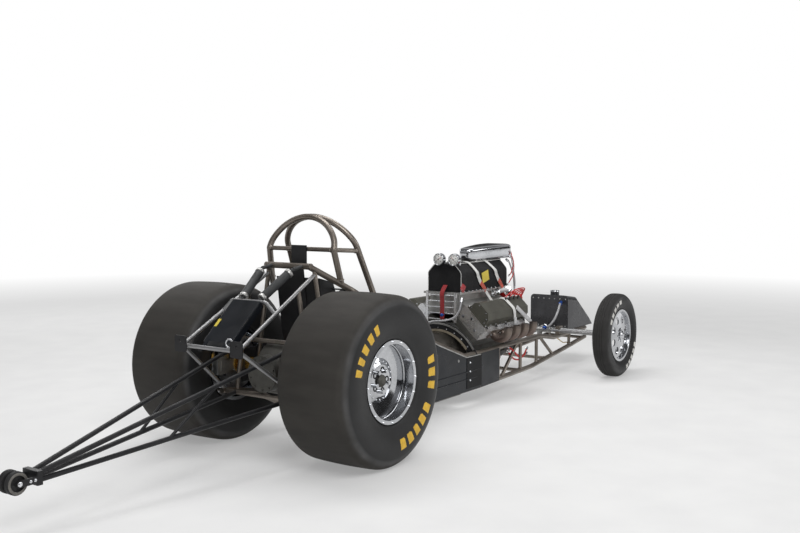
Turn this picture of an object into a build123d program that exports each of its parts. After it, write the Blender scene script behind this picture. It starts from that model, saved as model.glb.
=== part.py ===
from build123d import *
import math
import os

# Drag racing car with its body shell off: a tube frame, a supercharged V8 and slicks.
# Millimetres, X forward, Y to the driver's left, Z up. Every piece is drawn from the point on the
# ground under the rear axle, and save() moves it so that the model's origin is the middle of its box.

# Stance
wheelbase = 3175.0
rear_overhang = 1742.0
front_overhang = 790.0
overall_length = rear_overhang + wheelbase + front_overhang
rear_axle_x = rear_overhang - overall_length / 2

# Rear tyres and wheels
rear_tyre_radius = 457.0
rear_tyre_width = 457.0
rear_tyre_y = 549.5
rear_rim_radius = 219.0
rear_rim_width = 400.0
rear_disc_radius = 155.0
rear_disc_y = 352.0
rear_hub_y = 326.0
hub_inner_radius = 30.0
disc_thickness = 10.0

# Front tyres and wheels
front_tyre_radius = 330.0
front_tyre_width = 140.0
front_tyre_y = 690.5
front_rim_radius = 205.5
front_rim_width = 102.0

# Wheelie bars
wheelie_wheel_radius = 50.0
wheelie_wheel_width = 28.0
wheelie_wheel_y = 24.0
wheelie_wheel_z = 222.0
wheelie_wheel_x = wheelie_wheel_radius - rear_overhang

# Frame tube sizes, as radii
rail_radius = 17.5
brace_radius = 12.7
cage_radius = 17.5
tail_radius = 11.0
wheelie_radius = 12.0
sleeve_radius = 24.0

# Frame width, half of the distance between the rails' centre lines
cockpit_half_width = 290.0
shoulder_half_width = 150.0
nose_half_width = 170.0
shoulder_x = 50.0
shoulder_bend_x = 250.0
taper_start_x = 1700.0
nose_x = wheelbase + 605.0
bay_front_x = wheelbase - 175.0
engine_upright_x = 2010.0
hoop_upright_x = 430.0

# Steering
wheel_hub = Vector(640, 0, 742)
shaft_joint = Vector(1040, 250, 320)
shaft_radius = 11.0
shaft_hole_radius = 14.0
column_radius = 12.0
column_bush_radius = 21.0
column_tube_x = 780.0
wheel_rim_radius = 140.0
pinion_y = 150.0
pinion_box_radius = 26.0
kingpin_y = 600.0
kingpin_radius = 12.0
axle_boss_radius = 24.0
axle_boss_height = 80.0
web_offset = axle_boss_radius + 10
front_axle_radius = 22.0
stub_radius = 16.0
arm_length = 110.0
arm_inset = 40.0
rack_radius = 9.0

# Engine, driven from the crank's height
crank_z = 330.0
engine_rear_x = 1690.0
block_length = 630.0
deck_height = 263.0
head_thickness = 105.0
cover_height = 90.0
head_inner = 112.0
head_outer = 122.0
bank_angle = 45.0
pan_bottom_z = 112.0
manifold_top_z = 752.0
bell_radius = 150.0
bell_flange_radius = 200.0
bell_flange_length = 16.0
bell_length = 230.0
plate_thickness = 8.0
first_port_x = 1870.0
port_pitch = 130.0
pipe_radius = 29.0
pipe_wall = 2.5
pipe_bend_radius = 62.0

# Blower, its fabric bag and the injector hat
blower_rear_x = 1722.0
blower_length = 640.0
blower_half_width = 128.0
blower_height = 190.0
blower_chamfer_in = 56.0
blower_chamfer_down = 62.0
bag_thickness = 9.0
hat_rear_x = 1985.0
hat_length = 510.0
hat_height = 108.0

# Tank in the nose
tank_rear_x = wheelbase + 240.0
tank_front_x = wheelbase + front_overhang
tank_half_width = 175.0
tank_height = 290.0

# Bends of tube, as bend radius over tube radius; a turn below the angle is drawn straight
bend_ratio = 3.0
straight_angle = 0.5

# Small fits
seat_gap = 0.3
running_gap = 0.5
tin = 2.0
caliper_gap = 3.0


def tube(start, end, radius):
    """A round bar between two points."""
    a, b = Vector(*start), Vector(*end)
    return Solid.make_cylinder(radius, (b - a).length, Plane(origin=a, z_dir=b - a))


def bent_path(points, bend_radius):
    """Straight lines with an arc at each inner point."""
    points = [Vector(*p) for p in points]
    edges, start = [], points[0]
    for before, corner, after in zip(points, points[1:], points[2:]):
        into, out = (corner - before).normalized(), (after - corner).normalized()
        if into.get_angle(out) < straight_angle:
            continue
        reach = bend_radius * math.tan(math.radians(into.get_angle(out)) / 2)
        arc_start, arc_end = corner - into * reach, corner + out * reach
        edges.append(Edge.make_line(start, arc_start))
        edges.append(Edge.make_tangent_arc(arc_start, into, arc_end))
        start = arc_end
    edges.append(Edge.make_line(start, points[-1]))
    return Wire(edges)


def run_of_tube(points, radius):
    """One tube, bent at each inner point."""
    path = bent_path(points, bend_ratio * radius)
    section = Plane(origin=path @ 0, z_dir=path % 0) * Circle(radius)
    return sweep(section, path=path).solid()


def block(x, y, z, centre):
    """A box of three sizes about its centre."""
    return Pos(*centre) * Box(x, y, z)


def largest(shape):
    """The biggest solid of a cut shape."""
    return max(shape.solids(), key=lambda s: s.volume)


def coped(bar, carriers):
    """A brace whose ends are cut to lie on the tubes that carry it."""
    for carrier in carriers:
        bar = bar - carrier
    return largest(bar)


def both_sides(shapes):
    """The given right-hand solids and their mirror images on the left."""
    return [s for s in shapes] + [mirror(s, about=Plane.XZ) for s in shapes]


def ring(outer, inner, thickness, centre, axis):
    """A flat ring with its axis along the given direction, starting at its centre point."""
    plane = Plane(origin=centre, z_dir=axis)
    return Solid.make_cylinder(outer, thickness, plane) - Solid.make_cylinder(inner, thickness, plane)


def bolt_ring(count, circle_radius, head_radius, height, centre, axis, first_angle=0.0):
    """Round bolt heads spaced evenly on a circle."""
    plane = Plane(origin=centre, z_dir=axis)
    heads = []
    for i in range(count):
        turn = math.radians(first_angle + 360.0 * i / count)
        at = plane.from_local_coords(
            Vector(circle_radius * math.cos(turn), circle_radius * math.sin(turn), 0)
        )
        heads.append(Solid.make_cylinder(head_radius, height, Plane(origin=at, z_dir=axis)))
    return heads


parts = {}


def keep(name, shapes):
    """Note one node: a solid, or several solids that belong together."""
    solids = shapes if isinstance(shapes, list) else [shapes]
    parts[name] = [piece for s in solids for piece in s.solids()]


# Frame rails
# columns: x, lower rail z, upper rail z
lower_line = [(-190, 330), (60, 285), (hoop_upright_x, 115), (2600, 115)]
lower_line += [(wheelbase + 125, 165), (nose_x, 205)]
upper_line = [(shoulder_x, 1030), (shoulder_bend_x, 892), (1140, 475), (1500, 347)]
upper_line += [(wheelbase - 425, 335), (wheelbase - 115, 285), (nose_x, 285)]


def rail_half_width(x):
    """Half of the frame's width at a distance ahead of the rear axle."""
    if x <= taper_start_x:
        return cockpit_half_width
    share = (x - taper_start_x) / (nose_x - taper_start_x)
    return cockpit_half_width + share * (nose_half_width - cockpit_half_width)


def shoulder_half(x):
    """Half of the width between the upper rails, which close in behind the driver's shoulders."""
    if x >= shoulder_bend_x:
        return rail_half_width(x)
    share = (x - shoulder_x) / (shoulder_bend_x - shoulder_x)
    return shoulder_half_width + share * (cockpit_half_width - shoulder_half_width)


def height_on(line, x):
    """Height of a rail's centre line at x."""
    for (x0, z0), (x1, z1) in zip(line, line[1:]):
        if x0 <= x <= x1:
            return z0 + (z1 - z0) * (x - x0) / (x1 - x0)
    return line[-1][1]


def on_rail(line, x, side=-1):
    """A point on a rail's centre line, on the right-hand side unless told otherwise."""
    half = shoulder_half(x) if line is upper_line else rail_half_width(x)
    return (x, side * half, height_on(line, x))


def rail(line, grow=0.0):
    """One right-hand rail with a bend at each point of its line and where the frame narrows."""
    xs = sorted({x for x, z in line} | {taper_start_x})
    return run_of_tube([on_rail(line, x) for x in xs], rail_radius + grow)


lower_rail = rail(lower_line)
upper_rail = rail(upper_line)
keep("frame_lower_rails", both_sides([lower_rail]))
keep("frame_upper_rails", both_sides([upper_rail]))

# Uprights and diagonals between the rails
front_run = wheelbase + 225 - engine_upright_x
front_upright_xs = [engine_upright_x + share * front_run for share in (0, 0.28, 0.5, 1)]
upright_xs = [hoop_upright_x, 1080] + front_upright_xs
diagonal_inset = 50.0
# columns: rear x, front x, whether it rises to the front
diagonal_runs = [
    (470, 1040, False),
    (front_upright_xs[0] + diagonal_inset, front_upright_xs[1] - diagonal_inset, True),
    (front_upright_xs[2] + diagonal_inset, wheelbase - 135, False),
]


def side_uprights():
    """Vertical tubes from the lower to the upper rail."""
    bars = []
    for x in upright_xs:
        bar = tube(on_rail(lower_line, x), on_rail(upper_line, x), brace_radius)
        bars.append(coped(bar, [lower_rail, upper_rail]))
    return bars


# Beside the rear axle the uprights lean in: one to the shoulder, one to the tail's upper tube
axle_upright_x = 75.0
tail_corner = (-560.0, 200.0, 640.0)
tail_upper_foot = (axle_upright_x, 172.0, 985.0)
front_axle_upright = (on_rail(lower_line, axle_upright_x), on_rail(upper_line, axle_upright_x))
tail_share = (-axle_upright_x - tail_corner[0]) / (tail_upper_foot[0] - tail_corner[0])
rear_upright_top = (
    -axle_upright_x,
    -(tail_corner[1] + tail_share * (tail_upper_foot[1] - tail_corner[1])),
    tail_corner[2] + tail_share * (tail_upper_foot[2] - tail_corner[2]),
)
rear_axle_upright = (on_rail(lower_line, -axle_upright_x), rear_upright_top)


def axle_uprights():
    """The leaning uprights ahead of and behind the rear axle."""
    front = coped(tube(*front_axle_upright, brace_radius), [lower_rail, upper_rail])
    tail_tube = tube((tail_corner[0], -tail_corner[1], tail_corner[2]),
                     (tail_upper_foot[0], -tail_upper_foot[1], tail_upper_foot[2]), tail_radius)
    rear = coped(tube(*rear_axle_upright, brace_radius), [lower_rail, tail_tube])
    return [front, rear]


def leaning_half(z):
    """Half of the distance between the leaning uprights at a height, midway between the two pairs."""
    halves = []
    for (_, y0, z0), (_, y1, z1) in (front_axle_upright, rear_axle_upright):
        halves.append(-(y0 + (y1 - y0) * (z - z0) / (z1 - z0)))
    return sum(halves) / 2


def side_diagonals():
    """Sloping tubes, each inside one bay of the frame's side."""
    bars = []
    for x0, x1, rises in diagonal_runs:
        start, end = (x0, x1) if rises else (x1, x0)
        bar = tube(on_rail(lower_line, start), on_rail(upper_line, end), brace_radius)
        bars.append(coped(bar, [lower_rail, upper_rail]))
    return bars


keep("frame_braces", both_sides(side_uprights() + axle_uprights() + side_diagonals()))

# Tubes across the frame
# columns: x, on the upper rail
cross_places = [
    (-170, False),
    (700, False),
    (1430, False),
    (front_upright_xs[1], False),
    (wheelbase - 275, False),
    (nose_x - 40, False),
    (column_tube_x, True),
    (bay_front_x, True),
    (nose_x - 40, True),
]


def crossmembers():
    """Tubes from the right rail to the left one."""
    bars = []
    left_lower = mirror(lower_rail, about=Plane.XZ)
    left_upper = mirror(upper_rail, about=Plane.XZ)
    for x, is_upper in cross_places:
        line = upper_line if is_upper else lower_line
        bar = tube(on_rail(line, x), on_rail(line, x, 1), brace_radius)
        bars.append(coped(bar, [lower_rail, left_lower, upper_rail, left_upper]))
    x, y, z = on_rail(upper_line, shoulder_x, 1)
    shoulder_bar = tube((x, -y - rail_radius, z), (x, y + rail_radius, z), rail_radius)
    bars.append(coped(shoulder_bar, [upper_rail, left_upper]))
    return bars


# Roll cage: two arches that lean on each other over the driver's head
cage_top_z = 1302.0
cage_bar_z = cage_top_z - 182.0
cage_corner_radius = 134.0
cage_lean_x = 223.0
# columns: x at bar height, x at the top, half width at bar height, foot x on the upper rail
rear_hoop_row = (160.0, cage_lean_x, 238.0, 204.0)
front_hoop_row = (352.0, cage_lean_x + 2 * cage_radius + seat_gap, 258.0, 510.0)


def arch_path(half, rise, corner_radius, plane):
    """A basket-handle arch: two corner arcs and a flatter top arc, all tangent."""
    inset, drop = half - corner_radius, rise - corner_radius
    below = (inset**2 - drop**2) / (2 * drop)
    top_radius = rise + below
    turn = math.degrees(math.atan2(below, inset))
    arcs = [
        CenterArc((inset, 0), corner_radius, 0, turn),
        CenterArc((0, -below), top_radius, turn, 180 - 2 * turn),
        CenterArc((-inset, 0), corner_radius, 180 - turn, turn),
    ]
    return plane * Wire(arcs)


def hoop(row):
    """One arch with splayed legs that stand on the upper rails."""
    bar_x, top_x, half, foot_x = row
    foot = on_rail(upper_line, foot_x, 1)
    lean = Vector(top_x - bar_x, 0, cage_top_z - cage_bar_z)
    across = Vector(0, 1, 0)
    plane = Plane(origin=(bar_x, 0, cage_bar_z), x_dir=across, z_dir=across.cross(lean))
    path = arch_path(half, lean.length, cage_corner_radius, plane)
    section = Plane(origin=path @ 0, z_dir=path % 0) * Circle(cage_radius)
    shape = sweep(section, path=path).solid()
    for side in (-1, 1):
        shoulder = (bar_x, side * half, cage_bar_z)
        shape += Pos(*shoulder) * Sphere(cage_radius)
        shape += tube(shoulder, (foot[0], side * foot[1], foot[2]), cage_radius)
    seat_cut = rail(upper_line, seat_gap)
    return largest(shape - seat_cut - mirror(seat_cut, about=Plane.XZ))


rear_hoop = hoop(rear_hoop_row)
front_hoop = hoop(front_hoop_row)
keep("cage_hoops", [rear_hoop, front_hoop])


def cage_bars():
    """The bar across the rear arch and the bars that tie the arches together at each side."""
    rear_x, _, rear_half, _ = rear_hoop_row
    front_x, _, front_half, _ = front_hoop_row
    bars = [tube((rear_x, -rear_half, cage_bar_z), (rear_x, rear_half, cage_bar_z), brace_radius)]
    for side in (-1, 1):
        rear, front = (rear_x, side * rear_half, cage_bar_z), (front_x, side * front_half, cage_bar_z - 12)
        bars.append(tube(rear, front, brace_radius))
    return [coped(bar, [rear_hoop, front_hoop]) for bar in bars]


keep("cage_bars", cage_bars())

# Two sleeved struts behind the seat, with a thinner eye at each end
strut_top_y = 112.0
strut_eye_radius = sleeve_radius * 0.45


def sleeved_struts():
    """The struts from the shoulder bar down to the tail's raised bar."""
    struts = []
    bar_x, bar_z = tail_bar
    shoulder_z = upper_line[0][1]
    fit = seat_gap
    tail_carrier = tube((bar_x, -118, bar_z), (bar_x, 118, bar_z), tail_radius + fit)
    shoulder_carrier = tube((shoulder_x, -140, shoulder_z), (shoulder_x, 140, shoulder_z), rail_radius + fit)
    for side in (-1, 1):
        top = Vector(-40, side * strut_top_y, shoulder_z - 12)
        bottom = Vector(tail_bar[0] + 4, side * 62, tail_bar[1])
        run = (bottom - top).normalized()
        strut = tube(top + run * 30, bottom - run * 30, sleeve_radius)
        for end, inward in ((top, run), (bottom, run * -1)):
            strut += tube(end, end + inward * 34, strut_eye_radius)
        strut += tube(top, (shoulder_x, side * strut_top_y, shoulder_z), strut_eye_radius)
        struts.append(largest(strut - tail_carrier - shoulder_carrier))
    return struts


# Tail frame behind the cage: thin tubes that carry the rear of the body shell
tail_low_feet = (-165.0, cockpit_half_width, 335.0)
tail_bar = (-269.6, 857.0)


def tail_frame():
    """The tube across the tail and two tubes forward from each of its corners."""
    x, y, z = tail_corner
    shape = tube((x, -y, z), (x, y, z), tail_radius)
    for side in (-1, 1):
        corner = (x, side * y, z)
        shape += Pos(*corner) * Sphere(tail_radius)
        for foot in (tail_upper_foot, tail_low_feet):
            shape += tube(corner, (foot[0], side * foot[1], foot[2]), tail_radius)
        shape -= tube(*[(px, -side * py, pz) for px, py, pz in front_axle_upright], brace_radius)
    bar_x, bar_z = tail_bar
    share = (bar_x - x) / (tail_upper_foot[0] - x)
    foot_y, foot_z = y + share * (tail_upper_foot[1] - y), z + share * (tail_upper_foot[2] - z)
    raised = [(bar_x, -foot_y, foot_z), (bar_x, -120, bar_z), (bar_x, 120, bar_z), (bar_x, foot_y, foot_z)]
    shape += run_of_tube(raised, tail_radius)
    for rail_tube in (upper_rail, lower_rail):
        shape = shape - rail_tube - mirror(rail_tube, about=Plane.XZ)
    return largest(shape)


keep("tail_frame", tail_frame())
keep("cage_struts", sleeved_struts())

# Plates at the tail's corners that the body shell is pinned to
mount_plate_size = 86.0
mount_plate_thickness = 5.0
mount_bore_radius = 6.5
mount_bore_rise = 26.0


def body_mounts():
    """One upright plate behind each corner of the tail, with a bore along the car."""
    x, y, z = tail_corner
    face_x = x - tail_radius - seat_gap
    size = mount_plate_size
    plate = block(mount_plate_thickness, size, size, (face_x - mount_plate_thickness / 2, -y, z + 10))
    plate = fillet(plate.edges().filter_by(Axis.X), 12)
    bore_z = z + mount_bore_rise
    bore = tube((face_x + 5, -y, bore_z), (face_x - 15, -y, bore_z), mount_bore_radius)
    return both_sides([plate - bore])


keep("body_mounts", body_mounts())

# Sloping panel over the tail, folded down at its sides
deck_top = (-292.0, 864.0)
deck_bottom = (-510.0, 668.0)
deck_half_width = 100.0
deck_depth = 42.0


def tail_deck():
    """A tray turned upside down: a flat sloping face with folded sides."""
    (x0, z0), (x1, z1) = deck_bottom, deck_top
    length = math.hypot(x1 - x0, z1 - z0)
    plane = Plane(origin=(x0, 0, z0), x_dir=(x1 - x0, 0, z1 - z0), z_dir=Vector(z0 - z1, 0, x1 - x0))
    outer = Box(length, 2 * deck_half_width, deck_depth, align=(Align.MIN, Align.CENTER, Align.MAX))
    outer = fillet(outer.edges().filter_by(Axis.X).group_by(Axis.Z)[-1], 8)
    inner = Pos(tin, 0, -tin) * Box(
        length - 2 * tin, 2 * (deck_half_width - tin), deck_depth, align=(Align.MIN, Align.CENTER, Align.MAX)
    )
    tray = outer - inner
    for y in (-70, 70):
        tray += Pos(-70, y, 1.3) * Box(80, 24, tin + 1.3, align=(Align.MIN, Align.CENTER, Align.MAX))
    x, _, z = tail_corner
    carrier = tube((x, -200, z), (x, 200, z), tail_radius + seat_gap)
    return largest(plane * tray - carrier)


keep("tail_deck", tail_deck())

# Rear axle, bolted solidly into the frame
rear_axle_z = rear_tyre_radius
housing_radius = 38.0
diff_radius = 148.0
diff_half_width = 82.0
pinion_z = 330.0


def rear_axle_housing():
    """The two axle tubes with their end flanges."""
    outer_y = rear_hub_y
    half = tube((0, -diff_half_width - seat_gap, rear_axle_z), (0, -outer_y, rear_axle_z), housing_radius)
    half += tube((0, -outer_y + 12, rear_axle_z), (0, -outer_y, rear_axle_z), housing_radius + 22)
    return both_sides([half])


def differential():
    """The round case with its ribbed rear cover and the pinion nose in front."""
    case = tube((0, -diff_half_width, rear_axle_z), (0, diff_half_width, rear_axle_z), diff_radius)
    case = fillet(case.edges().filter_by(GeomType.CIRCLE), 18)
    cover_z = rear_axle_z - 10
    case += tube((-60, 0, cover_z), (-176, 0, cover_z), 102)
    case += tube((60, 0, pinion_z), (232, 0, pinion_z), 66)
    case += tube((216, 0, pinion_z), (232, 0, pinion_z), 84)
    for head in bolt_ring(10, 88, 7, 8, (-176, 0, cover_z), (-1, 0, 0)):
        case += head
    return case


def axle_plates():
    """Plates round the axle tubes, between the two uprights of each side."""
    x = axle_upright_x - brace_radius - seat_gap
    y = leaning_half(rear_axle_z)
    plate = block(2 * x, 8, 190, (0, -y, rear_axle_z))
    hole = tube((0, -y - 9, rear_axle_z), (0, -y + 9, rear_axle_z), housing_radius + seat_gap)
    return both_sides([plate - hole])


keep("rear_axle_housing", rear_axle_housing())
keep("differential", differential())
keep("axle_plates", axle_plates())


def rear_calipers():
    """Calipers behind the axle, straddling the brake discs, on their brackets."""
    y = -rear_disc_y - disc_thickness / 2
    slot = disc_thickness + 2 * caliper_gap
    body = block(70, 62, 96, (-rear_disc_radius + 8, y, rear_axle_z))
    body -= block(70, slot, 120, (-rear_disc_radius + 24, y, rear_axle_z))
    bracket = block(130, 8, 60, (-95, y + 31, rear_axle_z))
    hole = tube((0, y, rear_axle_z), (0, y + 60, rear_axle_z), housing_radius + 22 + seat_gap)
    return both_sides([largest(body + bracket - hole)])


keep("rear_calipers", rear_calipers())

# Wheels and tyres, revolved about Y through the wheel's centre


def revolved(points, centre):
    """A ring from an outline of (radius, offset along Y) points."""
    outline = Plane.YZ * Polyline(*[(y, r) for r, y in points], close=True)
    shape = revolve(make_face(outline), axis=Axis.Y)
    return Pos(*centre) * shape


def tyre_outline(radius, width, bead_radius, rim_width, crown, thickness):
    """A hollow carcass: bead, sidewall, shoulder and a nearly flat tread."""
    half, bead = width / 2, rim_width / 2 - 6
    shoulder = radius - crown
    outer = [
        (bead_radius, bead),
        (bead_radius + 18, bead + 6),
        (bead_radius + (shoulder - bead_radius) * 0.55, half),
        (shoulder, half - 6),
        (radius, half - crown * 1.5),
    ]
    inner = [
        (radius - thickness, half - crown * 1.5 - 4),
        (bead_radius + 22, bead - thickness * 0.7),
        (bead_radius, bead - thickness * 0.7),
    ]
    right = outer + inner
    return right


def tyre(radius, width, bead_radius, rim_width, crown, thickness, centre):
    """One tyre, its carcass mirrored about the middle of its tread."""
    side = tyre_outline(radius, width, bead_radius, rim_width, crown, thickness)
    split = len(side) - 3
    outer, inner = side[:split], side[split:]
    points = outer + [(r, -y) for r, y in reversed(outer)]
    points += [(r, -y) for r, y in reversed(inner)] + inner
    return revolved(points, centre)


def rear_wheel(side):
    """A wide dished wheel with its centre outboard and a bead ring on the outside."""
    r, half = rear_rim_radius, rear_rim_width / 2
    barrel = r - 14
    points = [
        (r, half),
        (r, half - 6),
        (barrel, half - 10),
        (barrel, -half + 10),
        (r, -half + 6),
        (r, -half),
        (barrel - 5, -half),
        (barrel - 5, half - 86),
        (112, half - 104),
        (76, half - 92),
        (0, half - 92),
        (0, half - 78),
        (84, half - 78),
        (118, half - 90),
        (barrel - 6, half - 70),
        (barrel - 6, half),
    ]
    points = [(radius, side * y) for radius, y in points]
    centre = (0, side * rear_tyre_y, rear_axle_z)
    wheel = revolved(points, centre)
    hub_face = side * (rear_tyre_y + half - 92)
    disc_face = side * (rear_disc_y + disc_thickness + seat_gap)
    wheel += tube((0, disc_face, rear_axle_z), (0, hub_face, rear_axle_z), 62)
    inner_end = (0, side * (rear_hub_y + running_gap), rear_axle_z)
    wheel += tube(inner_end, (0, side * (rear_disc_y + 20), rear_axle_z), hub_inner_radius)
    nuts = bolt_ring(5, 57, 11, 22, (0, side * (rear_tyre_y + half - 79), rear_axle_z), (0, side, 0))
    for nut in nuts:
        wheel += nut
    return wheel


def brake_disc(side):
    """A flat disc with a ring of round holes, seated on the wheel's inner hub."""
    centre = (0, side * rear_disc_y, rear_axle_z)
    disc = ring(rear_disc_radius, hub_inner_radius + seat_gap, disc_thickness, centre, (0, side, 0))
    for hole in bolt_ring(12, rear_disc_radius * 0.78, 11, disc_thickness, centre, (0, side, 0)):
        disc -= hole
    return disc


for side, name in ((-1, "right"), (1, "left")):
    keep(f"rear_tyre_{name}", tyre(
        rear_tyre_radius, rear_tyre_width, rear_rim_radius + seat_gap, rear_rim_width, 22, 14,
        (0, side * rear_tyre_y, rear_axle_z),
    ))
    keep(f"rear_wheel_{name}", rear_wheel(side))

keep("rear_discs", [brake_disc(side) for side in (-1, 1)])

# Front axle, knuckles, wheels and the steering rack
front_axle_x = wheelbase
front_axle_z = front_tyre_radius
stub_length = front_tyre_y - kingpin_y + 30


def front_axle():
    """A straight tube with an upright boss for the kingpin at each end."""
    axle = tube(
        (front_axle_x, -kingpin_y, front_axle_z), (front_axle_x, kingpin_y, front_axle_z), front_axle_radius
    )
    half = axle_boss_height / 2
    for side in (-1, 1):
        low = (front_axle_x, side * kingpin_y, front_axle_z - half)
        high = (front_axle_x, side * kingpin_y, front_axle_z + half)
        axle += tube(low, high, axle_boss_radius)
        axle -= tube(low, high, kingpin_radius + seat_gap)
    return axle


axle_beam = front_axle()
keep("front_axle", axle_beam)


def axle_clamps():
    """Saddles that hold the front axle on the upper rails."""
    x, y = front_axle_x, rail_half_width(front_axle_x)
    saddle = block(70, 34, 62, (x, -y, front_axle_z + 4))
    saddle -= tube((x, -y - 20, front_axle_z), (x, -y + 20, front_axle_z), front_axle_radius + seat_gap)
    saddle = saddle - upper_rail
    return both_sides([largest(saddle)])


keep("axle_clamps", axle_clamps())
arm_z = front_axle_z - 14.0
rod_z = front_axle_z + 5.0


def knuckle(side):
    """A yoke on the kingpin with the wheel's stub axle and a steering arm to the rear."""
    x, y, z = front_axle_x, side * kingpin_y, front_axle_z
    ear = axle_boss_height / 2 + running_gap
    shape = tube((x, y, z - ear - 12), (x, y, z + ear + 12), kingpin_radius)
    web_y = y + side * web_offset
    for low in (-ear - 12, ear):
        shape += tube((x, y, z + low), (x, y, z + low + 12), axle_boss_radius)
        shape += block(40, 34, 12, (x, y + side * 17, z + low + 6))
    shape += block(44, 14, 2 * (ear + 12), (x, web_y, z))
    shape += tube((x, web_y, z), (x, y + side * stub_length, z), stub_radius)
    arm_start = (x - 14, web_y - side * 3, z - ear + 6)
    arm_end = (x - arm_length, y - side * arm_inset, arm_z - 6)
    elbow = (x - 60, y + side * 24, arm_z - 8)
    shape += run_of_tube([arm_start, elbow, arm_end], 9)
    shape += tube((arm_end[0], arm_end[1], arm_z - 16), (arm_end[0], arm_end[1], arm_z + 4), 15)
    return shape


def tie_rod():
    """The rack bar between the steering arms, with an eye over each arm's end."""
    x, y = front_axle_x - arm_length, kingpin_y - arm_inset
    rod = tube((x, -y, rod_z + 6), (x, y, rod_z + 6), rack_radius)
    for side in (-1, 1):
        rod += tube((x, side * y, arm_z + 4 + running_gap), (x, side * y, rod_z + 18), 14)
    return rod


rack_half_length = 180.0
rack_x = front_axle_x - arm_length
rack_z = rod_z + 6
shaft_end = Vector(rack_x - 8 - pinion_box_radius - running_gap, pinion_y, rack_z)
shaft_run = (shaft_end - shaft_joint).normalized()
shaft_hole = tube(shaft_joint + shaft_run * 60, shaft_end, shaft_hole_radius)


def rack_housing():
    """The tube that the rack bar slides in, with its pinion box and two feet on the cross tube."""
    x, z = rack_x, rack_z
    housing = tube((x, -rack_half_length, z), (x, rack_half_length, z), 22)
    housing += tube((x - 8, pinion_y, z - 34), (x - 8, pinion_y, z + 34), pinion_box_radius)
    for y in (-100, 110):
        housing += block(52, 20, 26, (x - 34, y, z - 24))
    housing -= tube((x, -rack_half_length - 5, z), (x, rack_half_length + 5, z), rack_radius + running_gap)
    right, left = on_rail(upper_line, bay_front_x), on_rail(upper_line, bay_front_x, 1)
    return largest(housing - tube(right, left, brace_radius + seat_gap))


for side, name in ((-1, "right"), (1, "left")):
    keep(f"knuckle_{name}", knuckle(side))
keep("tie_rod", tie_rod())
keep("steering_rack", rack_housing())


def front_wheel(side):
    """A narrow spoked racing wheel with a hub that turns on the stub axle."""
    r, half = front_rim_radius, front_rim_width / 2
    barrel = r - 13
    rim_points = [
        (r, half),
        (r, half - 7),
        (barrel, half - 11),
        (barrel, -half + 11),
        (r, -half + 7),
        (r, -half),
        (barrel - 4, -half),
        (barrel - 4, half),
    ]
    centre = (front_axle_x, side * front_tyre_y, front_axle_z)
    wheel = revolved([(radius, side * y) for radius, y in rim_points], centre)
    face = [(barrel - 2, half - 20), (60, half - 6), (40, half - 2)]
    face += [(40, half - 14), (60, half - 18), (barrel - 2, half - 30)]
    dish = revolved([(radius, side * y) for radius, y in face], centre)
    window_plane = (front_axle_x, side * (front_tyre_y + half - 60), front_axle_z)
    for window in bolt_ring(8, 128, 30, 80, window_plane, (0, side, 0), 22.5):
        dish -= window
    hub_start = (front_axle_x, side * (kingpin_y + web_offset + 7 + running_gap), front_axle_z)
    hub = tube(hub_start, (front_axle_x, side * (front_tyre_y + half + 6), front_axle_z), 41)
    bore = tube(
        (front_axle_x, side * (front_tyre_y - 60), front_axle_z),
        (front_axle_x, side * (kingpin_y + stub_length + running_gap), front_axle_z),
        stub_radius + running_gap,
    )
    return wheel + dish + hub - bore


for side, name in ((-1, "right"), (1, "left")):
    keep(f"front_tyre_{name}", tyre(
        front_tyre_radius, front_tyre_width, front_rim_radius + seat_gap, front_rim_width, 14, 10,
        (front_axle_x, side * front_tyre_y, front_axle_z),
    ))
    keep(f"front_wheel_{name}", front_wheel(side))

# Wheelie bars
cross_tube_z = 615.0
upper_bar_foot = (-axle_upright_x, 200.0, cross_tube_z)
lower_bar_foot = (-170.0, 200.0, height_on(lower_line, -170))
bar_end_x = wheelie_wheel_x + wheelie_wheel_radius + 45.0
strut_share = 0.62


def axle_cross_tube():
    """The tube between the uprights behind the axle, which the upper bars bolt to."""
    x, y = -axle_upright_x, leaning_half(cross_tube_z)
    bar = tube((x, -y, cross_tube_z), (x, y, cross_tube_z), brace_radius)
    for side in (-1, 1):
        bar -= tube(*[(px, -side * py, pz) for px, py, pz in rear_axle_upright], brace_radius)
    return largest(bar)


cross_tube = axle_cross_tube()
keep("frame_crossmembers", crossmembers() + [cross_tube])


def wheelie_fork():
    """Two cheeks with a pin between them, joined ahead of the small wheels by a block."""
    pin_y = wheelie_wheel_y + wheelie_wheel_width / 2 + 14
    x, z = wheelie_wheel_x, wheelie_wheel_z
    fork = tube((x, -pin_y, z), (x, pin_y, z), 8)
    fork += block(26, 2 * pin_y, 62, (bar_end_x, 0, z + 4))
    for side in (-1, 1):
        fork += block(bar_end_x - x, 6, 30, ((x + bar_end_x) / 2, side * (pin_y - 3), z))
        fork += tube((x, side * (pin_y - 6), z), (x, side * pin_y, z), 15)
    return fork


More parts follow.
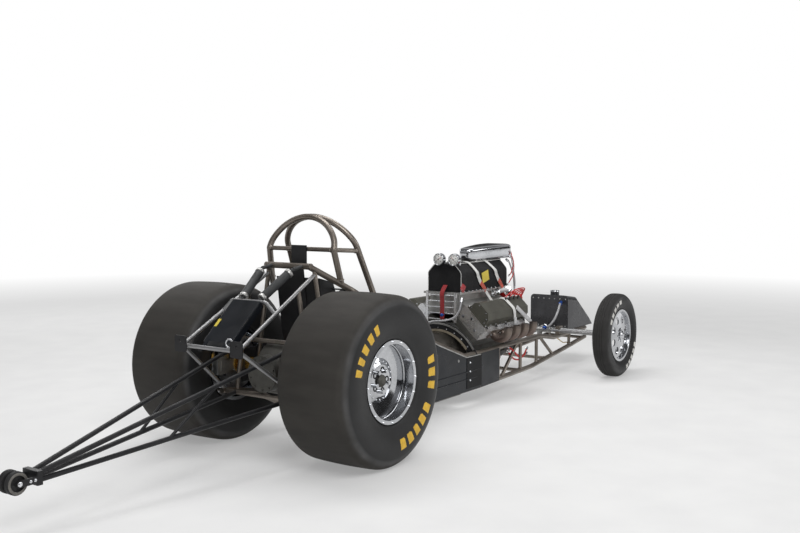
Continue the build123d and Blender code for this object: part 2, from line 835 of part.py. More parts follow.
def wheelie_bars():
    """Two long bars on each side, and the strut that joins them part of the way along."""
    fork_face = bar_end_x + 13 + seat_gap
    uppers, lowers, struts = [], [], []
    for side in (-1, 1):
        upper_start = Vector(fork_face, side * 22, wheelie_wheel_z + 20)
        lower_start = Vector(fork_face, side * 22, wheelie_wheel_z - 12)
        upper_end = Vector(upper_bar_foot[0], side * upper_bar_foot[1], upper_bar_foot[2])
        lower_end = Vector(lower_bar_foot[0], side * lower_bar_foot[1], lower_bar_foot[2])
        trim = block(60, 400, 200, (fork_face - 30, 0, wheelie_wheel_z))
        upper = tube(upper_start - (upper_end - upper_start).normalized() * 20, upper_end, wheelie_radius)
        lower = tube(lower_start - (lower_end - lower_start).normalized() * 20, lower_end, wheelie_radius)
        upper = coped(upper, [trim, cross_tube])
        lower = coped(lower, [trim, lower_crossbar])
        on_upper = upper_start + (upper_end - upper_start) * strut_share
        on_lower = lower_start + (lower_end - lower_start) * (strut_share - 0.16)
        struts.append(coped(tube(on_lower, on_upper, 8), [upper, lower]))
        uppers.append(upper)
        lowers.append(lower)
    return uppers, lowers, struts


lower_crossbar = tube(on_rail(lower_line, -170), on_rail(lower_line, -170, 1), brace_radius)
uppers, lowers, struts = wheelie_bars()
keep("wheelie_fork", wheelie_fork())
keep("wheelie_bars", uppers + lowers)
keep("wheelie_struts", struts)


def wheelie_wheels():
    """A pair of small wheels on one hub tube."""
    x, z = wheelie_wheel_x, wheelie_wheel_z
    r, half = wheelie_wheel_radius, wheelie_wheel_width / 2
    outline = [(r, half - 5), (r - 5, half), (r - 16, half), (r - 20, 5), (12, 5)]
    outline += [(radius, -y) for radius, y in reversed(outline)]
    wheels = tube((x, -wheelie_wheel_y - half, z), (x, wheelie_wheel_y + half, z), 13)
    for side in (-1, 1):
        wheels += revolved(outline, (x, side * wheelie_wheel_y, z))
    return wheels - tube((x, -100, z), (x, 100, z), 8 + seat_gap)


keep("wheelie_wheels", wheelie_wheels())

# Engine. A bank's points are (along, out): along its cylinders from the crank, and out to its exhaust side
block_front_x = engine_rear_x + block_length
blower_front_x = blower_rear_x + blower_length
drive_x = max(block_front_x + 66.0, blower_front_x + 24.0)
flange_lip = 4.0
crank_snout_radius = 40.0


def bank_point(along, out):
    """A point of the right-hand bank, as (y, z)."""
    turn = math.radians(bank_angle)
    y = -(along * math.sin(turn) + out * math.cos(turn))
    return (y, crank_z + along * math.cos(turn) - out * math.sin(turn))


def extruded_x(points, x0, x1):
    """A prism along the car from an outline of (y, z) points."""
    face = make_face(Polyline(*[(x0, y, z) for y, z in points], close=True))
    return extrude(face, amount=x1 - x0, dir=(1, 0, 0))


def engine_block():
    """The V block down to its skirt."""
    right = [bank_point(deck_height, -96), bank_point(deck_height, 96)]
    lower = [(-156, crank_z + 30), (-156, crank_z - 60)]
    points = [(-60, crank_z + 196), right[0], right[1]] + lower
    points += [(-y, z) for y, z in reversed(points)]
    shape = extruded_x(points, engine_rear_x, block_front_x)
    snout_end = drive_x - flange_lip - running_gap
    shape += tube((block_front_x - 5, 0, crank_z), (snout_end, 0, crank_z), crank_snout_radius)
    return shape


def oil_pan():
    """A deep pan with sloping ends."""
    top = crank_z - 60 - seat_gap
    x0, x1 = engine_rear_x + 6, block_front_x - 6
    side = [(x0, top), (x0, top - 90), (x0 + 60, pan_bottom_z)]
    side += [(x1 - 150, pan_bottom_z), (x1, top - 60), (x1, top)]
    face = make_face(Polyline(*[(x, -128, z) for x, z in side], close=True))
    return extrude(face, amount=256, dir=(0, 1, 0))


def cylinder_head():
    """A cast head, with the four exhaust ports on its lower face."""
    low, high = deck_height + seat_gap, deck_height + head_thickness
    corners = [(low, -head_inner + 10), (high - 14, -head_inner), (high, -head_inner + 14)]
    corners += [(high, head_outer - 26), (high - 22, head_outer), (low, head_outer)]
    return extruded_x([bank_point(a, o) for a, o in corners], engine_rear_x + 10, block_front_x - 6)


def valve_cover():
    """A cast cover with chamfered edges and a row of bosses for its bolts."""
    low = deck_height + head_thickness + seat_gap
    high = low + cover_height
    corners = [(low, -80), (high - 30, -76), (high, -48), (high, 46), (high - 36, 84), (low, 88)]
    cover = extruded_x([bank_point(a, o) for a, o in corners], engine_rear_x + 16, block_front_x - 14)
    base = [(low, -92), (low + 10, -92), (low + 10, 98), (low, 98)]
    return cover + extruded_x([bank_point(a, o) for a, o in base], engine_rear_x + 12, block_front_x - 10)


keep("engine_block", engine_block())
keep("oil_pan", oil_pan())
keep("cylinder_heads", both_sides([cylinder_head()]))
keep("valve_covers", both_sides([valve_cover()]))


def header_pipes():
    """Four short open pipes that curve out and up from the ports, each with its flange."""
    turn = math.radians(bank_angle)
    out = Vector(0, -math.cos(turn), -math.sin(turn))
    port_y, port_z = bank_point(deck_height + 46, head_outer + seat_gap)
    pipes = []
    for i in range(4):
        port = Vector(first_port_x + i * port_pitch, port_y, port_z)
        start = port + out * 22
        centre = start + Vector(0, -math.sin(turn), math.cos(turn)) * pipe_bend_radius
        mouth_bottom = centre + Vector(0, -pipe_bend_radius, 0)
        middle_turn = turn + math.radians(180 - bank_angle) / 2
        straight = Edge.make_line(port, start)
        plane = Plane(origin=centre, x_dir=start - centre, z_dir=(-1, 0, 0))
        bend = plane * CenterArc((0, 0), pipe_bend_radius, 0, 180 - bank_angle)
        if (bend @ 1 - mouth_bottom).length > 1:
            plane = Plane(origin=centre, x_dir=start - centre, z_dir=(1, 0, 0))
            bend = plane * CenterArc((0, 0), pipe_bend_radius, 0, 180 - bank_angle)
        stack = Edge.make_line(mouth_bottom, mouth_bottom + Vector(0, 0, 22))
        path = Wire([straight, bend.edge(), stack])
        section = Plane(origin=port, z_dir=out) * (Circle(pipe_radius) - Circle(pipe_radius - pipe_wall))
        pipe = sweep(section, path=path).solid()
        flange_plane = Plane(origin=port, x_dir=(1, 0, 0), z_dir=out)
        flange = flange_plane * Box(96, 76, 8, align=(Align.CENTER, Align.CENTER, Align.MIN))
        flange -= flange_plane * Cylinder(pipe_radius - pipe_wall, 40)
        pipes.append(largest(pipe + flange))
    return pipes


pipes = header_pipes()
keep("headers", both_sides(pipes))


def bellhousing():
    """A flared steel can between the gearbox and the engine, with a bolted flange."""
    x0, x1 = engine_rear_x - plate_thickness - bell_length, engine_rear_x - plate_thickness - seat_gap
    back = x1 - bell_flange_length
    points = [(x0, 0), (x0, 118), (x0 + 18, 124), (back - 40, bell_radius), (back, bell_radius + 6)]
    points += [(back, bell_flange_radius), (x1, bell_flange_radius), (x1, 0)]
    profile = make_face(Plane.XZ * Polyline(*points, close=True))
    can = Pos(0, 0, crank_z) * revolve(profile, axis=Axis.X)
    for head in bolt_ring(16, bell_flange_radius - 12, 7, 8, (back - 8, 0, crank_z), (1, 0, 0), 11):
        can += head
    return can


def rear_motor_plate():
    """The plate between the bellhousing and the block, out to brackets on the rails."""
    x = engine_rear_x - plate_thickness
    edge = rail_half_width(x) - rail_radius - seat_gap
    top, low = crank_z + bell_flange_radius + 6, lower_line[2][1]
    right = [(-140, low), (-edge, low + 28), (-edge, crank_z), (-200, top - 110), (-96, top)]
    points = right + [(-y, z) for y, z in reversed(right)]
    return extruded_x(points, x, engine_rear_x - seat_gap) - shaft_hole


def front_motor_plate():
    """The plate on the block's nose that spans the frame."""
    x = block_front_x + seat_gap
    edge = rail_half_width(x + plate_thickness) - rail_radius - seat_gap
    right = [(-110, crank_z - 120), (-edge, crank_z - 24), (-edge, crank_z + 30), (-150, crank_z + 110)]
    points = right + [(-y, z) for y, z in reversed(right)]
    plate = extruded_x(points, x, x + plate_thickness) - shaft_hole
    return plate - tube((x - 20, 0, crank_z), (x + 60, 0, crank_z), crank_snout_radius + seat_gap)


keep("bellhousing", bellhousing())
keep("motor_plates", [rear_motor_plate(), front_motor_plate()])

# Driveline between the bellhousing and the axle
gearbox_front_x = engine_rear_x - plate_thickness - bell_length - seat_gap


def gearbox():
    """A stepped drum of a gearbox with bolted flanges and a tail housing."""
    x = gearbox_front_x
    # columns: distance behind the bellhousing, radius
    steps = [(0, 0), (0, 118), (16, 118), (16, 96), (150, 96), (150, 108), (166, 108), (166, 90)]
    steps += [(300, 90), (300, 104), (316, 104), (316, 70), (430, 52), (520, 52), (520, 0)]
    profile = make_face(Plane.XZ * Polyline(*[(x - back, r) for back, r in steps], close=True))
    return Pos(0, 0, crank_z) * revolve(profile, axis=Axis.X)


def coupler():
    """The short tube between the gearbox and the axle's pinion."""
    start = (gearbox_front_x - 520 - seat_gap, 0, crank_z)
    end = (232 + seat_gap, 0, pinion_z)
    cut_front = block(60, 200, 200, (start[0] + 30, 0, crank_z))
    cut_rear = block(60, 300, 300, (end[0] - 30, 0, pinion_z))
    run = (Vector(*end) - Vector(*start)).normalized() * 20
    return coped(tube(Vector(*start) - run, Vector(*end) + run, 40), [cut_front, cut_rear])


keep("gearbox", gearbox())
keep("coupler", coupler())

# Intake, blower, bag and injector hat
manifold_x = (engine_rear_x + 26, block_front_x - 20)
flange_x = (engine_rear_x - 14, block_front_x + 12)


def intake_manifold():
    """A casting that fills the valley and carries the blower on a wide flange."""
    low = bank_point(deck_height + 10, -head_inner + 9 - seat_gap)
    high = bank_point(deck_height + head_thickness - 14, -head_inner - seat_gap)
    right = [low, high, (-118, manifold_top_z - 60)]
    right.append((-118, manifold_top_z))
    points = right + [(-y, z) for y, z in reversed(right)]
    x0, x1 = flange_x
    flange = block(x1 - x0, 300, 14, ((x0 + x1) / 2, 0, manifold_top_z - 7))
    return extruded_x(points, *manifold_x) + flange


def manifold_ladder():
    """Two posts and five rungs behind the burst panel at the back of the manifold."""
    x = flange_x[0] - seat_gap - 5
    post_low = crank_z + bell_flange_radius + 12
    height = manifold_top_z - post_low
    ladder = tube((x, -116, manifold_top_z - 20), (x, 116, manifold_top_z - 20), 4.5)
    for side in (-1, 1):
        ladder += block(10, 18, height, (x, side * 116, post_low + height / 2))
    for i in range(1, 5):
        z = manifold_top_z - 20 - i * (height - 40) / 4
        ladder += tube((x, -116, z), (x, 116, z), 4.5)
    return ladder


keep("intake_manifold", intake_manifold())
keep("manifold_ladder", manifold_ladder())
belt_width = 78.0
belt_thickness = 8.0
crank_pulley_radius = 84.0
blower_pulley_radius = 66.0
blower_axis_z = manifold_top_z + 100.0
blower_top_z = manifold_top_z + seat_gap + blower_height


def blower_outline(grow):
    """The blower's cross-section, two rotor bores side by side, as (y, z) points."""
    half, low, high = blower_half_width + grow, manifold_top_z + seat_gap, blower_top_z + grow
    flat, edge = half - blower_chamfer_in, high - blower_chamfer_down
    return [(-half, low), (-half, edge), (-flat, high), (flat, high), (half, edge), (half, low)]


def blower_case():
    """The blower, closed inside its bag, with its drive snout at the front."""
    case = extruded_x(blower_outline(0), blower_rear_x, blower_front_x)
    nose_end = drive_x - flange_lip - seat_gap
    return case + tube((blower_front_x - 5, 0, blower_axis_z), (nose_end, 0, blower_axis_z), 52)


def blower_bag():
    """The fabric cover over the blower's sides, top and back."""
    rear_x = blower_rear_x - running_gap - bag_thickness
    outer = extruded_x(blower_outline(bag_thickness + running_gap), rear_x, blower_front_x + 30)
    inner = extruded_x(blower_outline(running_gap), blower_rear_x - running_gap, blower_front_x + 31)
    throat = block(hat_length, 2 * hat_base_half, 60, (hat_rear_x + hat_length / 2 + 10, 0, blower_top_z))
    return largest(outer - inner - throat)


hat_base_half = 76.0
hat_base_z = blower_top_z + seat_gap


def injector_hat():
    """A polished hat: narrow at the back, wide at its open mouth."""
    x0, x1 = hat_rear_x, hat_rear_x + hat_length
    base_z = hat_base_z + 14
    plan = [(x0, -46), (x0 + 40, -76), (x1 - 130, -122), (x1 - 20, -122)]
    plan += [(x, -y) for x, y in reversed(plan)]
    face = make_face(Polyline(*[(x, y, base_z) for x, y in plan], close=True))
    body = extrude(face, amount=hat_height, dir=(0, 0, 1))
    above = [(x0 - 5, base_z + hat_height - 22), (x1 + 5, base_z + hat_height + 2)]
    above += [(x1 + 5, base_z + 300), (x0 - 5, base_z + 300)]
    side = make_face(Polyline(*[(x, -200, z) for x, z in above], close=True))
    body = body - extrude(side, amount=400, dir=(0, 1, 0))
    mouth = block(120, 216, hat_height - 26, (x1 - 20, 0, base_z + hat_height / 2))
    body = body - mouth
    foot = block(x1 - x0 - 130, 2 * hat_base_half - 4, 14, (x0 + 45 + (x1 - x0 - 130) / 2, 0, hat_base_z + 7))
    for i in range(3):
        y = (i - 1) * 70
        body += tube((x1 - 78, y, base_z + hat_height / 2), (x1 - 68, y, base_z + hat_height / 2), 33)
    return largest(body + foot)


keep("blower_case", blower_case())
keep("blower_bag", blower_bag())
keep("injector_hat", injector_hat())

# Blower drive: a toothed belt from the crank to the blower
def drive_pulleys():
    """The crank and blower pulleys with their flanges."""
    pulleys = []
    x = drive_x
    for z, r in ((crank_z, crank_pulley_radius), (blower_axis_z, blower_pulley_radius)):
        pulley = tube((x, 0, z), (x + belt_width, 0, z), r)
        pulley += tube((x - flange_lip, 0, z), (x, 0, z), r + belt_thickness)
        pulley += tube((x + belt_width, 0, z), (x + belt_width + flange_lip, 0, z), r + belt_thickness)
        pulleys.append(pulley)
    return pulleys


def drive_belt():
    """The belt, a band round both pulleys."""
    def loop(grow):
        low = Pos(0, crank_z) * Circle(crank_pulley_radius + grow)
        high = Pos(0, blower_axis_z) * Circle(blower_pulley_radius + grow)
        return make_hull(low.edges() + high.edges())

    band = loop(belt_thickness) - loop(seat_gap)
    plane = Plane(origin=(drive_x + seat_gap, 0, 0), x_dir=(0, 1, 0), z_dir=(1, 0, 0))
    return plane * extrude(band, amount=belt_width - 2 * seat_gap)


keep("drive_pulleys", drive_pulleys())
keep("drive_belt", drive_belt())


def magneto():
    """The ignition magneto on the front right corner, with its round cap."""
    x = block_front_x + plate_thickness + 2 * seat_gap
    base, top = (x + 46, -206, 478), (x + 70, -216, 560)
    body = tube(base, top, 44)
    run = (Vector(*top) - Vector(*base)).normalized()
    body += tube(top, Vector(*top) + run * 52, 56)
    body += tube(Vector(*top) + run * 52, Vector(*top) + run * 88, 40)
    body += tube((x, -150, 440), (x + 60, -150, 440), 34)
    body += tube((x + 46, -150, 440), (x + 46, -206, 486), 20)
    return body


keep("magneto", magneto())


gauge_radius = 42.0
gauge_x = 1670.0
gauge_z = 983.0
stalk_radius = 7.0
# each gauge's place across the car
gauge_ys = (-99.0, 24.0)


def gauges():
    """Two round gauges behind the blower, each on a bent stalk from its top."""
    top = blower_top_z + bag_thickness + running_gap + seat_gap
    shapes = []
    flat = blower_half_width + bag_thickness + running_gap - blower_chamfer_in
    slope = blower_chamfer_down / blower_chamfer_in
    for y in gauge_ys:
        dial = tube((gauge_x, y, gauge_z), (gauge_x + 32, y, gauge_z), gauge_radius)
        foot_z = top - max(0.0, abs(y) - stalk_radius - flat) * slope
        stalk = [(gauge_x + 30, y, gauge_z), (gauge_x + 86, y, gauge_z), (gauge_x + 86, y, foot_z)]
        dial += run_of_tube(stalk, stalk_radius)
        shapes.append(dial)
    return shapes


keep("gauges", gauges())

# Tank in the nose, on the upper rails
def fuel_tank():
    """A sheet tank with a sloping front, rounded along its top."""
    bottom = upper_line[-1][1] + rail_radius + seat_gap
    top = bottom + tank_height
    x0, x1 = tank_rear_x, tank_front_x
    side = [(x0, bottom), (x0, top), (x0 + 190, top - 26), (x1 - 70, bottom + 60), (x1, bottom)]
    face = make_face(Polyline(*[(x, -tank_half_width, z) for x, z in side], close=True))
    tank = extrude(face, amount=2 * tank_half_width, dir=(0, 1, 0))
    sides = [e for e in tank.edges() if abs(e.center().Y) > tank_half_width - 1]
    outer = [e for e in sides if e.center().Z > bottom + 40]
    along = [e for e in outer if abs((e @ 1 - e @ 0).X) > 1]
    tank = fillet(along, 34)
    return tank + tube((x0 + 110, 0, top - 20), (x0 + 110, 0, top + 22), 38)


keep("fuel_tank", fuel_tank())

# Cockpit
seat_half_width = 160.0
seat_sheet = 4.0
# the back's bend and its top edge, as (x, z)
seat_bend = (172.0, 640.0)
seat_top = (130.0, 960.0)
seat_pan_z = 385.0


def seat():
    """A sheet-metal bucket seat: a side outline less the space inside."""
    pan = seat_pan_z
    outline = [(250, pan), (600, pan), (610, pan + 110), (450, pan + 150), (350, 700), (250, 930)]
    outline += [seat_top, seat_bend]
    face = make_face(Polyline(*[(x, -seat_half_width, z) for x, z in outline], close=True))
    outer = extrude(face, amount=2 * seat_half_width, dir=(0, 1, 0))
    lean = (seat_top[0] - seat_bend[0]) / (seat_top[1] - seat_bend[1])
    inside = [(256, pan + seat_sheet), (700, pan + seat_sheet), (700, 1100)]
    inside += [(seat_bend[0] + 6 + lean * (1100 - seat_bend[1]), 1100), (seat_bend[0] + 6, seat_bend[1])]
    half = seat_half_width - seat_sheet
    inner_face = make_face(Polyline(*[(x, -half, z) for x, z in inside], close=True))
    bucket = largest(outer - extrude(inner_face, amount=2 * half, dir=(0, 1, 0)))
    reach = cockpit_half_width - seat_half_width
    tab_x = shoulder_bend_x
    rail_cut = run_of_tube([on_rail(upper_line, x) for x in (160, tab_x, 400)], rail_radius + seat_gap)
    x = hoop_upright_x
    upright_cut = tube(on_rail(lower_line, x), on_rail(upper_line, x), brace_radius + seat_gap)
    for x, z, cut in ((tab_x, height_on(upper_line, tab_x), rail_cut), (hoop_upright_x, 470, upright_cut)):
        for tab in both_sides([largest(block(30, reach, 6, (x, -seat_half_width - reach / 2, z)) - cut)]):
            bucket += tab
    return bucket


keep("seat", seat())


def head_plates():
    """The plate behind the driver's head on the cage's cross bar, and the strip down the seat's back."""
    x = rear_hoop_row[0] - brace_radius - seat_gap
    plate = block(6, 110, 116, (x - 3, 0, cage_bar_z - 36))
    lean = (seat_top[0] - seat_bend[0]) / (seat_top[1] - seat_bend[1])
    low, high = 790, 1020
    low_x, high_x = [seat_bend[0] + lean * (z - seat_bend[1]) - seat_gap for z in (low, high)]
    side = [(low_x, low), (high_x, high), (high_x - 6, high), (low_x - 6, low)]
    face = make_face(Polyline(*[(px, -52, pz) for px, pz in side], close=True))
    return [plate, extrude(face, amount=104, dir=(0, 1, 0))]


keep("head_plate", head_plates())


def side_panel():
    """A sheet outside the rails beside the driver's legs, with two pressed ribs."""
    y = -(cockpit_half_width + rail_radius + seat_gap)
    end_x = taper_start_x - 5
    rear_x, low_z = 500, 106
    stations = (rear_x, 1140, 1500, end_x)
    top = [(x, height_on(upper_line, x) - 2) for x in stations]
    bottom = [(end_x, low_z), (rear_x, low_z)]
    face = make_face(Polyline(*[(x, y, z) for x, z in top + bottom], close=True))
    panel = extrude(face, amount=tin, dir=(0, -1, 0))
    for z in (190, 240):
        rib = tube((700, y - tin, z), (1640, y - tin, z), 4)
        panel += rib - block(2000, 20, 20, (1000, y + 10, z))
    return panel


def engine_side_panel():
    """A sheet beside the bellhousing, along the part of the frame that narrows."""
    x0, x1 = taper_start_x + 4, engine_upright_x - 20
    a, b = Vector(*on_rail(lower_line, x0)), Vector(*on_rail(lower_line, x1))
    run = (b - a).normalized()
    out = run.cross(Vector(0, 0, 1)).normalized()
    if out.Y > 0:
        out = out * -1
    shift = out * (rail_radius + seat_gap)
    low_a, low_b = a + shift, b + shift
    z0, z1 = height_on(upper_line, x0) - 2, height_on(upper_line, x1) - 2
    points = [low_a + Vector(0, 0, -9), low_b + Vector(0, 0, -9)]
    points += [low_b + Vector(0, 0, z1 - b.Z), low_a + Vector(0, 0, z0 - a.Z)]
    face = make_face(Polyline(*points, close=True))
    return extrude(face, amount=tin, dir=out)


keep("side_panels", both_sides([side_panel(), engine_side_panel()]))


def floor_pan():
    """The sheet under the driver, on the underside of the lower rails."""
    z = lower_line[2][1] - rail_radius - seat_gap
    return block(1010, 2 * (cockpit_half_width + 8), tin, (940, 0, z - tin / 2))


def firewall():
    """The sheet across the frame at the driver's feet, open for the gearbox."""
    x = gearbox_front_x - 190
    edge = cockpit_half_width - rail_radius - seat_gap
    top = height_on(upper_line, x)
    sheet = extruded_x([(-edge, 110), (-edge, top), (edge, top), (edge, 110)], x, x + tin)
    return sheet - tube((x - 20, 0, crank_z), (x + 20, 0, crank_z), 130) - shaft_hole


keep("cockpit_tin", [floor_pan(), firewall()])

arch_x = 1630.0
arch_centre_z = 200.0
arch_outer_radius = 340.0
arch_inner_radius = 284.0


def cowl_arch():
    """The bolted arch over the bellhousing that the body's cowl closes on, from rail to rail."""
    centre = (arch_x, 0, arch_centre_z)
    arch = ring(arch_outer_radius, arch_inner_radius, 5, centre, (1, 0, 0))
    arch += ring(arch_outer_radius + 4, arch_outer_radius - 6, 12, centre, (1, 0, 0))
    for rail_tube in (upper_rail, mirror(upper_rail, about=Plane.XZ)):
        arch = arch - rail_tube
    arch = arch - block(100, 1000, 800, (arch_x, 0, height_on(upper_line, arch_x) - 400))
    return largest(arch)


keep("cowl_arch", cowl_arch())

# Steering wheel on its column, and a jointed shaft down the left of the engine to the rack
column_run = (shaft_joint - wheel_hub).normalized()
joint_radius = 15.0


def steering_wheel():
    """A butterfly wheel on its column."""
    plane = Plane(origin=wheel_hub, x_dir=(0, 1, 0), z_dir=column_run)
    rim = plane * Torus(wheel_rim_radius, 11)
    gap_top = plane * Pos(0, 160, 0) * Box(190, 120, 60)
    gap_low = plane * Pos(0, -160, 0) * Box(190, 120, 60)
    rim = rim - gap_top - gap_low
    spoke = plane * Box(2 * wheel_rim_radius, 26, 6)
    hub = tube(wheel_hub - column_run * 14, wheel_hub + column_run * 30, 34)
    column_end = shaft_joint - column_run * (joint_radius + running_gap)
    return rim + spoke + hub + tube(wheel_hub, column_end, column_radius)


def column_bush():
    """The bush that holds the column under the cross tube."""
    tube_middle = Vector(column_tube_x, 0, height_on(upper_line, column_tube_x))
    flat = Vector(column_run.X, 0, column_run.Z)
    share = (tube_middle - wheel_hub).dot(flat) / flat.dot(flat)
    low = wheel_hub + column_run * (share - 16)
    high = wheel_hub + column_run * (share + 16)
    bush = tube(low, high, column_bush_radius) - tube(low, high, column_radius + running_gap)
    right, left = on_rail(upper_line, column_tube_x), on_rail(upper_line, column_tube_x, 1)
    return bush - tube(right, left, brace_radius + seat_gap)


def steering_shaft():
    """The long lower shaft between the column's joint and the rack's pinion."""
    return tube(shaft_joint, shaft_end, shaft_radius) + Pos(*shaft_joint) * Sphere(joint_radius)


keep("steering_wheel", steering_wheel())
keep("column_bush", column_bush())
keep("steering_shaft", steering_shaft())


def save(name, solids):
    """Write one node, moved so that the model's origin is the middle of its box on the ground."""
    place = Pos(rear_axle_x, 0, 0)
    moved = [place * s for s in solids]
    shape = moved[0] if len(moved) == 1 else Compound(children=moved)
    export_step(shape, f"parts/{name}.step")


os.makedirs("parts", exist_ok=True)
for name, solids in parts.items():
    save(name, solids)
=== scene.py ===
# %% [markdown]
# # A drag racing car with its body shell off
# This lesson dresses a CAD frame of the car: tube frame, supercharged V8, wide slicks at the
# back and narrow tyres at the front. The CAD solids carry the sizes and the joints. Blender adds
# the finishes, the cloth, the rubber and the small metal parts. Loading the frame comes first,
# because every new piece is placed by it and rides on one of its bodies.

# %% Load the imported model
import math

import bmesh
import bpy
from mathutils import Matrix, Vector, noise


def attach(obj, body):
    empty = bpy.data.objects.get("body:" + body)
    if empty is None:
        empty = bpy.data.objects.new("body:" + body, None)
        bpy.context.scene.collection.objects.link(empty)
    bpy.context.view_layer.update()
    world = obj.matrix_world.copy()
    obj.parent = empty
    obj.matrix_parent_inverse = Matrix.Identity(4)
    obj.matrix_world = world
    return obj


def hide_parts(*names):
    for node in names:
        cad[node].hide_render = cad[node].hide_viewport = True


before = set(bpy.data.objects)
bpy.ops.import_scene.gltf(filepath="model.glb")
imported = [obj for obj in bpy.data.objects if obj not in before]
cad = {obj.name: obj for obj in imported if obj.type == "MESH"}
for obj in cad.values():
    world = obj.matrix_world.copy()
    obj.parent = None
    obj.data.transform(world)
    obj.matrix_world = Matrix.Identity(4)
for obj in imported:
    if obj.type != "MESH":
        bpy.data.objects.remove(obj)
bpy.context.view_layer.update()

# %% [markdown]
# The car was measured in millimetres from the ground under the rear axle, X forward, Y to the
# driver's left. The model's origin is the middle of its box, so one helper turns a measured point
# into a Blender point. Working in the car's own measures keeps every later number readable.

# %% Places in the car's own measures
MM = 0.001
REAR_AXLE_X = -1111.5
SIDES = ((-1, "right"), (1, "left"))
FORWARD, REARWARD, UP = Vector((1, 0, 0)), Vector((-1, 0, 0)), Vector((0, 0, 1))


def place(x, y, z):
    """A Blender point from millimetres measured from the ground under the rear axle."""
    return Vector((x + REAR_AXLE_X, y, z)) * MM


def places(points, side=1):
    """The same for a list of points, mirrored to the other side where side is -1."""
    return [place(x, side * y, z) for x, y, z in points]


REAR_AXLE, FRONT_AXLE = place(0, 0, 457), place(3175, 0, 330)
REAR_ACROSS, FRONT_ACROSS = 549.5, 690.5
BANK_SLOPE = math.radians(45)
CRANK_Z = 330


def beside(point, across, side):
    """A point moved outwards, in millimetres, to one side of the car."""
    return point + Vector((0, side * across, 0)) * MM


def bank(x, along, out, side=-1):
    """A point of one cylinder bank: along its bores from the crank, and out to its exhaust side."""
    y = along * math.sin(BANK_SLOPE) + out * math.cos(BANK_SLOPE)
    z = CRANK_Z + along * math.cos(BANK_SLOPE) - out * math.sin(BANK_SLOPE)
    return place(x, side * y, z)


def linked(name, data):
    """A new object for this data, in the scene."""
    obj = bpy.data.objects.new(name, data)
    bpy.context.scene.collection.objects.link(obj)
    return obj


print("rear axle at", tuple(round(v, 3) for v in REAR_AXLE))

# %% [markdown]
# ## Camera and studio
# The camera stands behind the car on its right, a little above the tyres. It could be set by eye,
# but then nothing could be measured in the picture. Its place and lens were worked out instead
# from the wheelbase and the two axles' places in the picture.

# %% Camera
camera_data = bpy.data.cameras.new("view_camera")
camera_data.lens, camera_data.sensor_width = 42.75, 36
camera = linked("view_camera", camera_data)
camera.location = (-5.0935, -3.530, 1.391)
camera.rotation_euler = (math.radians(86.065), 0, math.radians(-55.52))
bpy.context.scene.camera = camera
bpy.context.scene.view_settings.view_transform = "Standard"
print("camera lens", camera_data.lens, "mm")

# %% [markdown]
# Every finish is a small tree of shader nodes. They could be drawn in the node editor, but a
# lesson has to be repeatable. A class with one short method for each kind of node keeps the trees
# readable in text, and the same class serves the world's light.

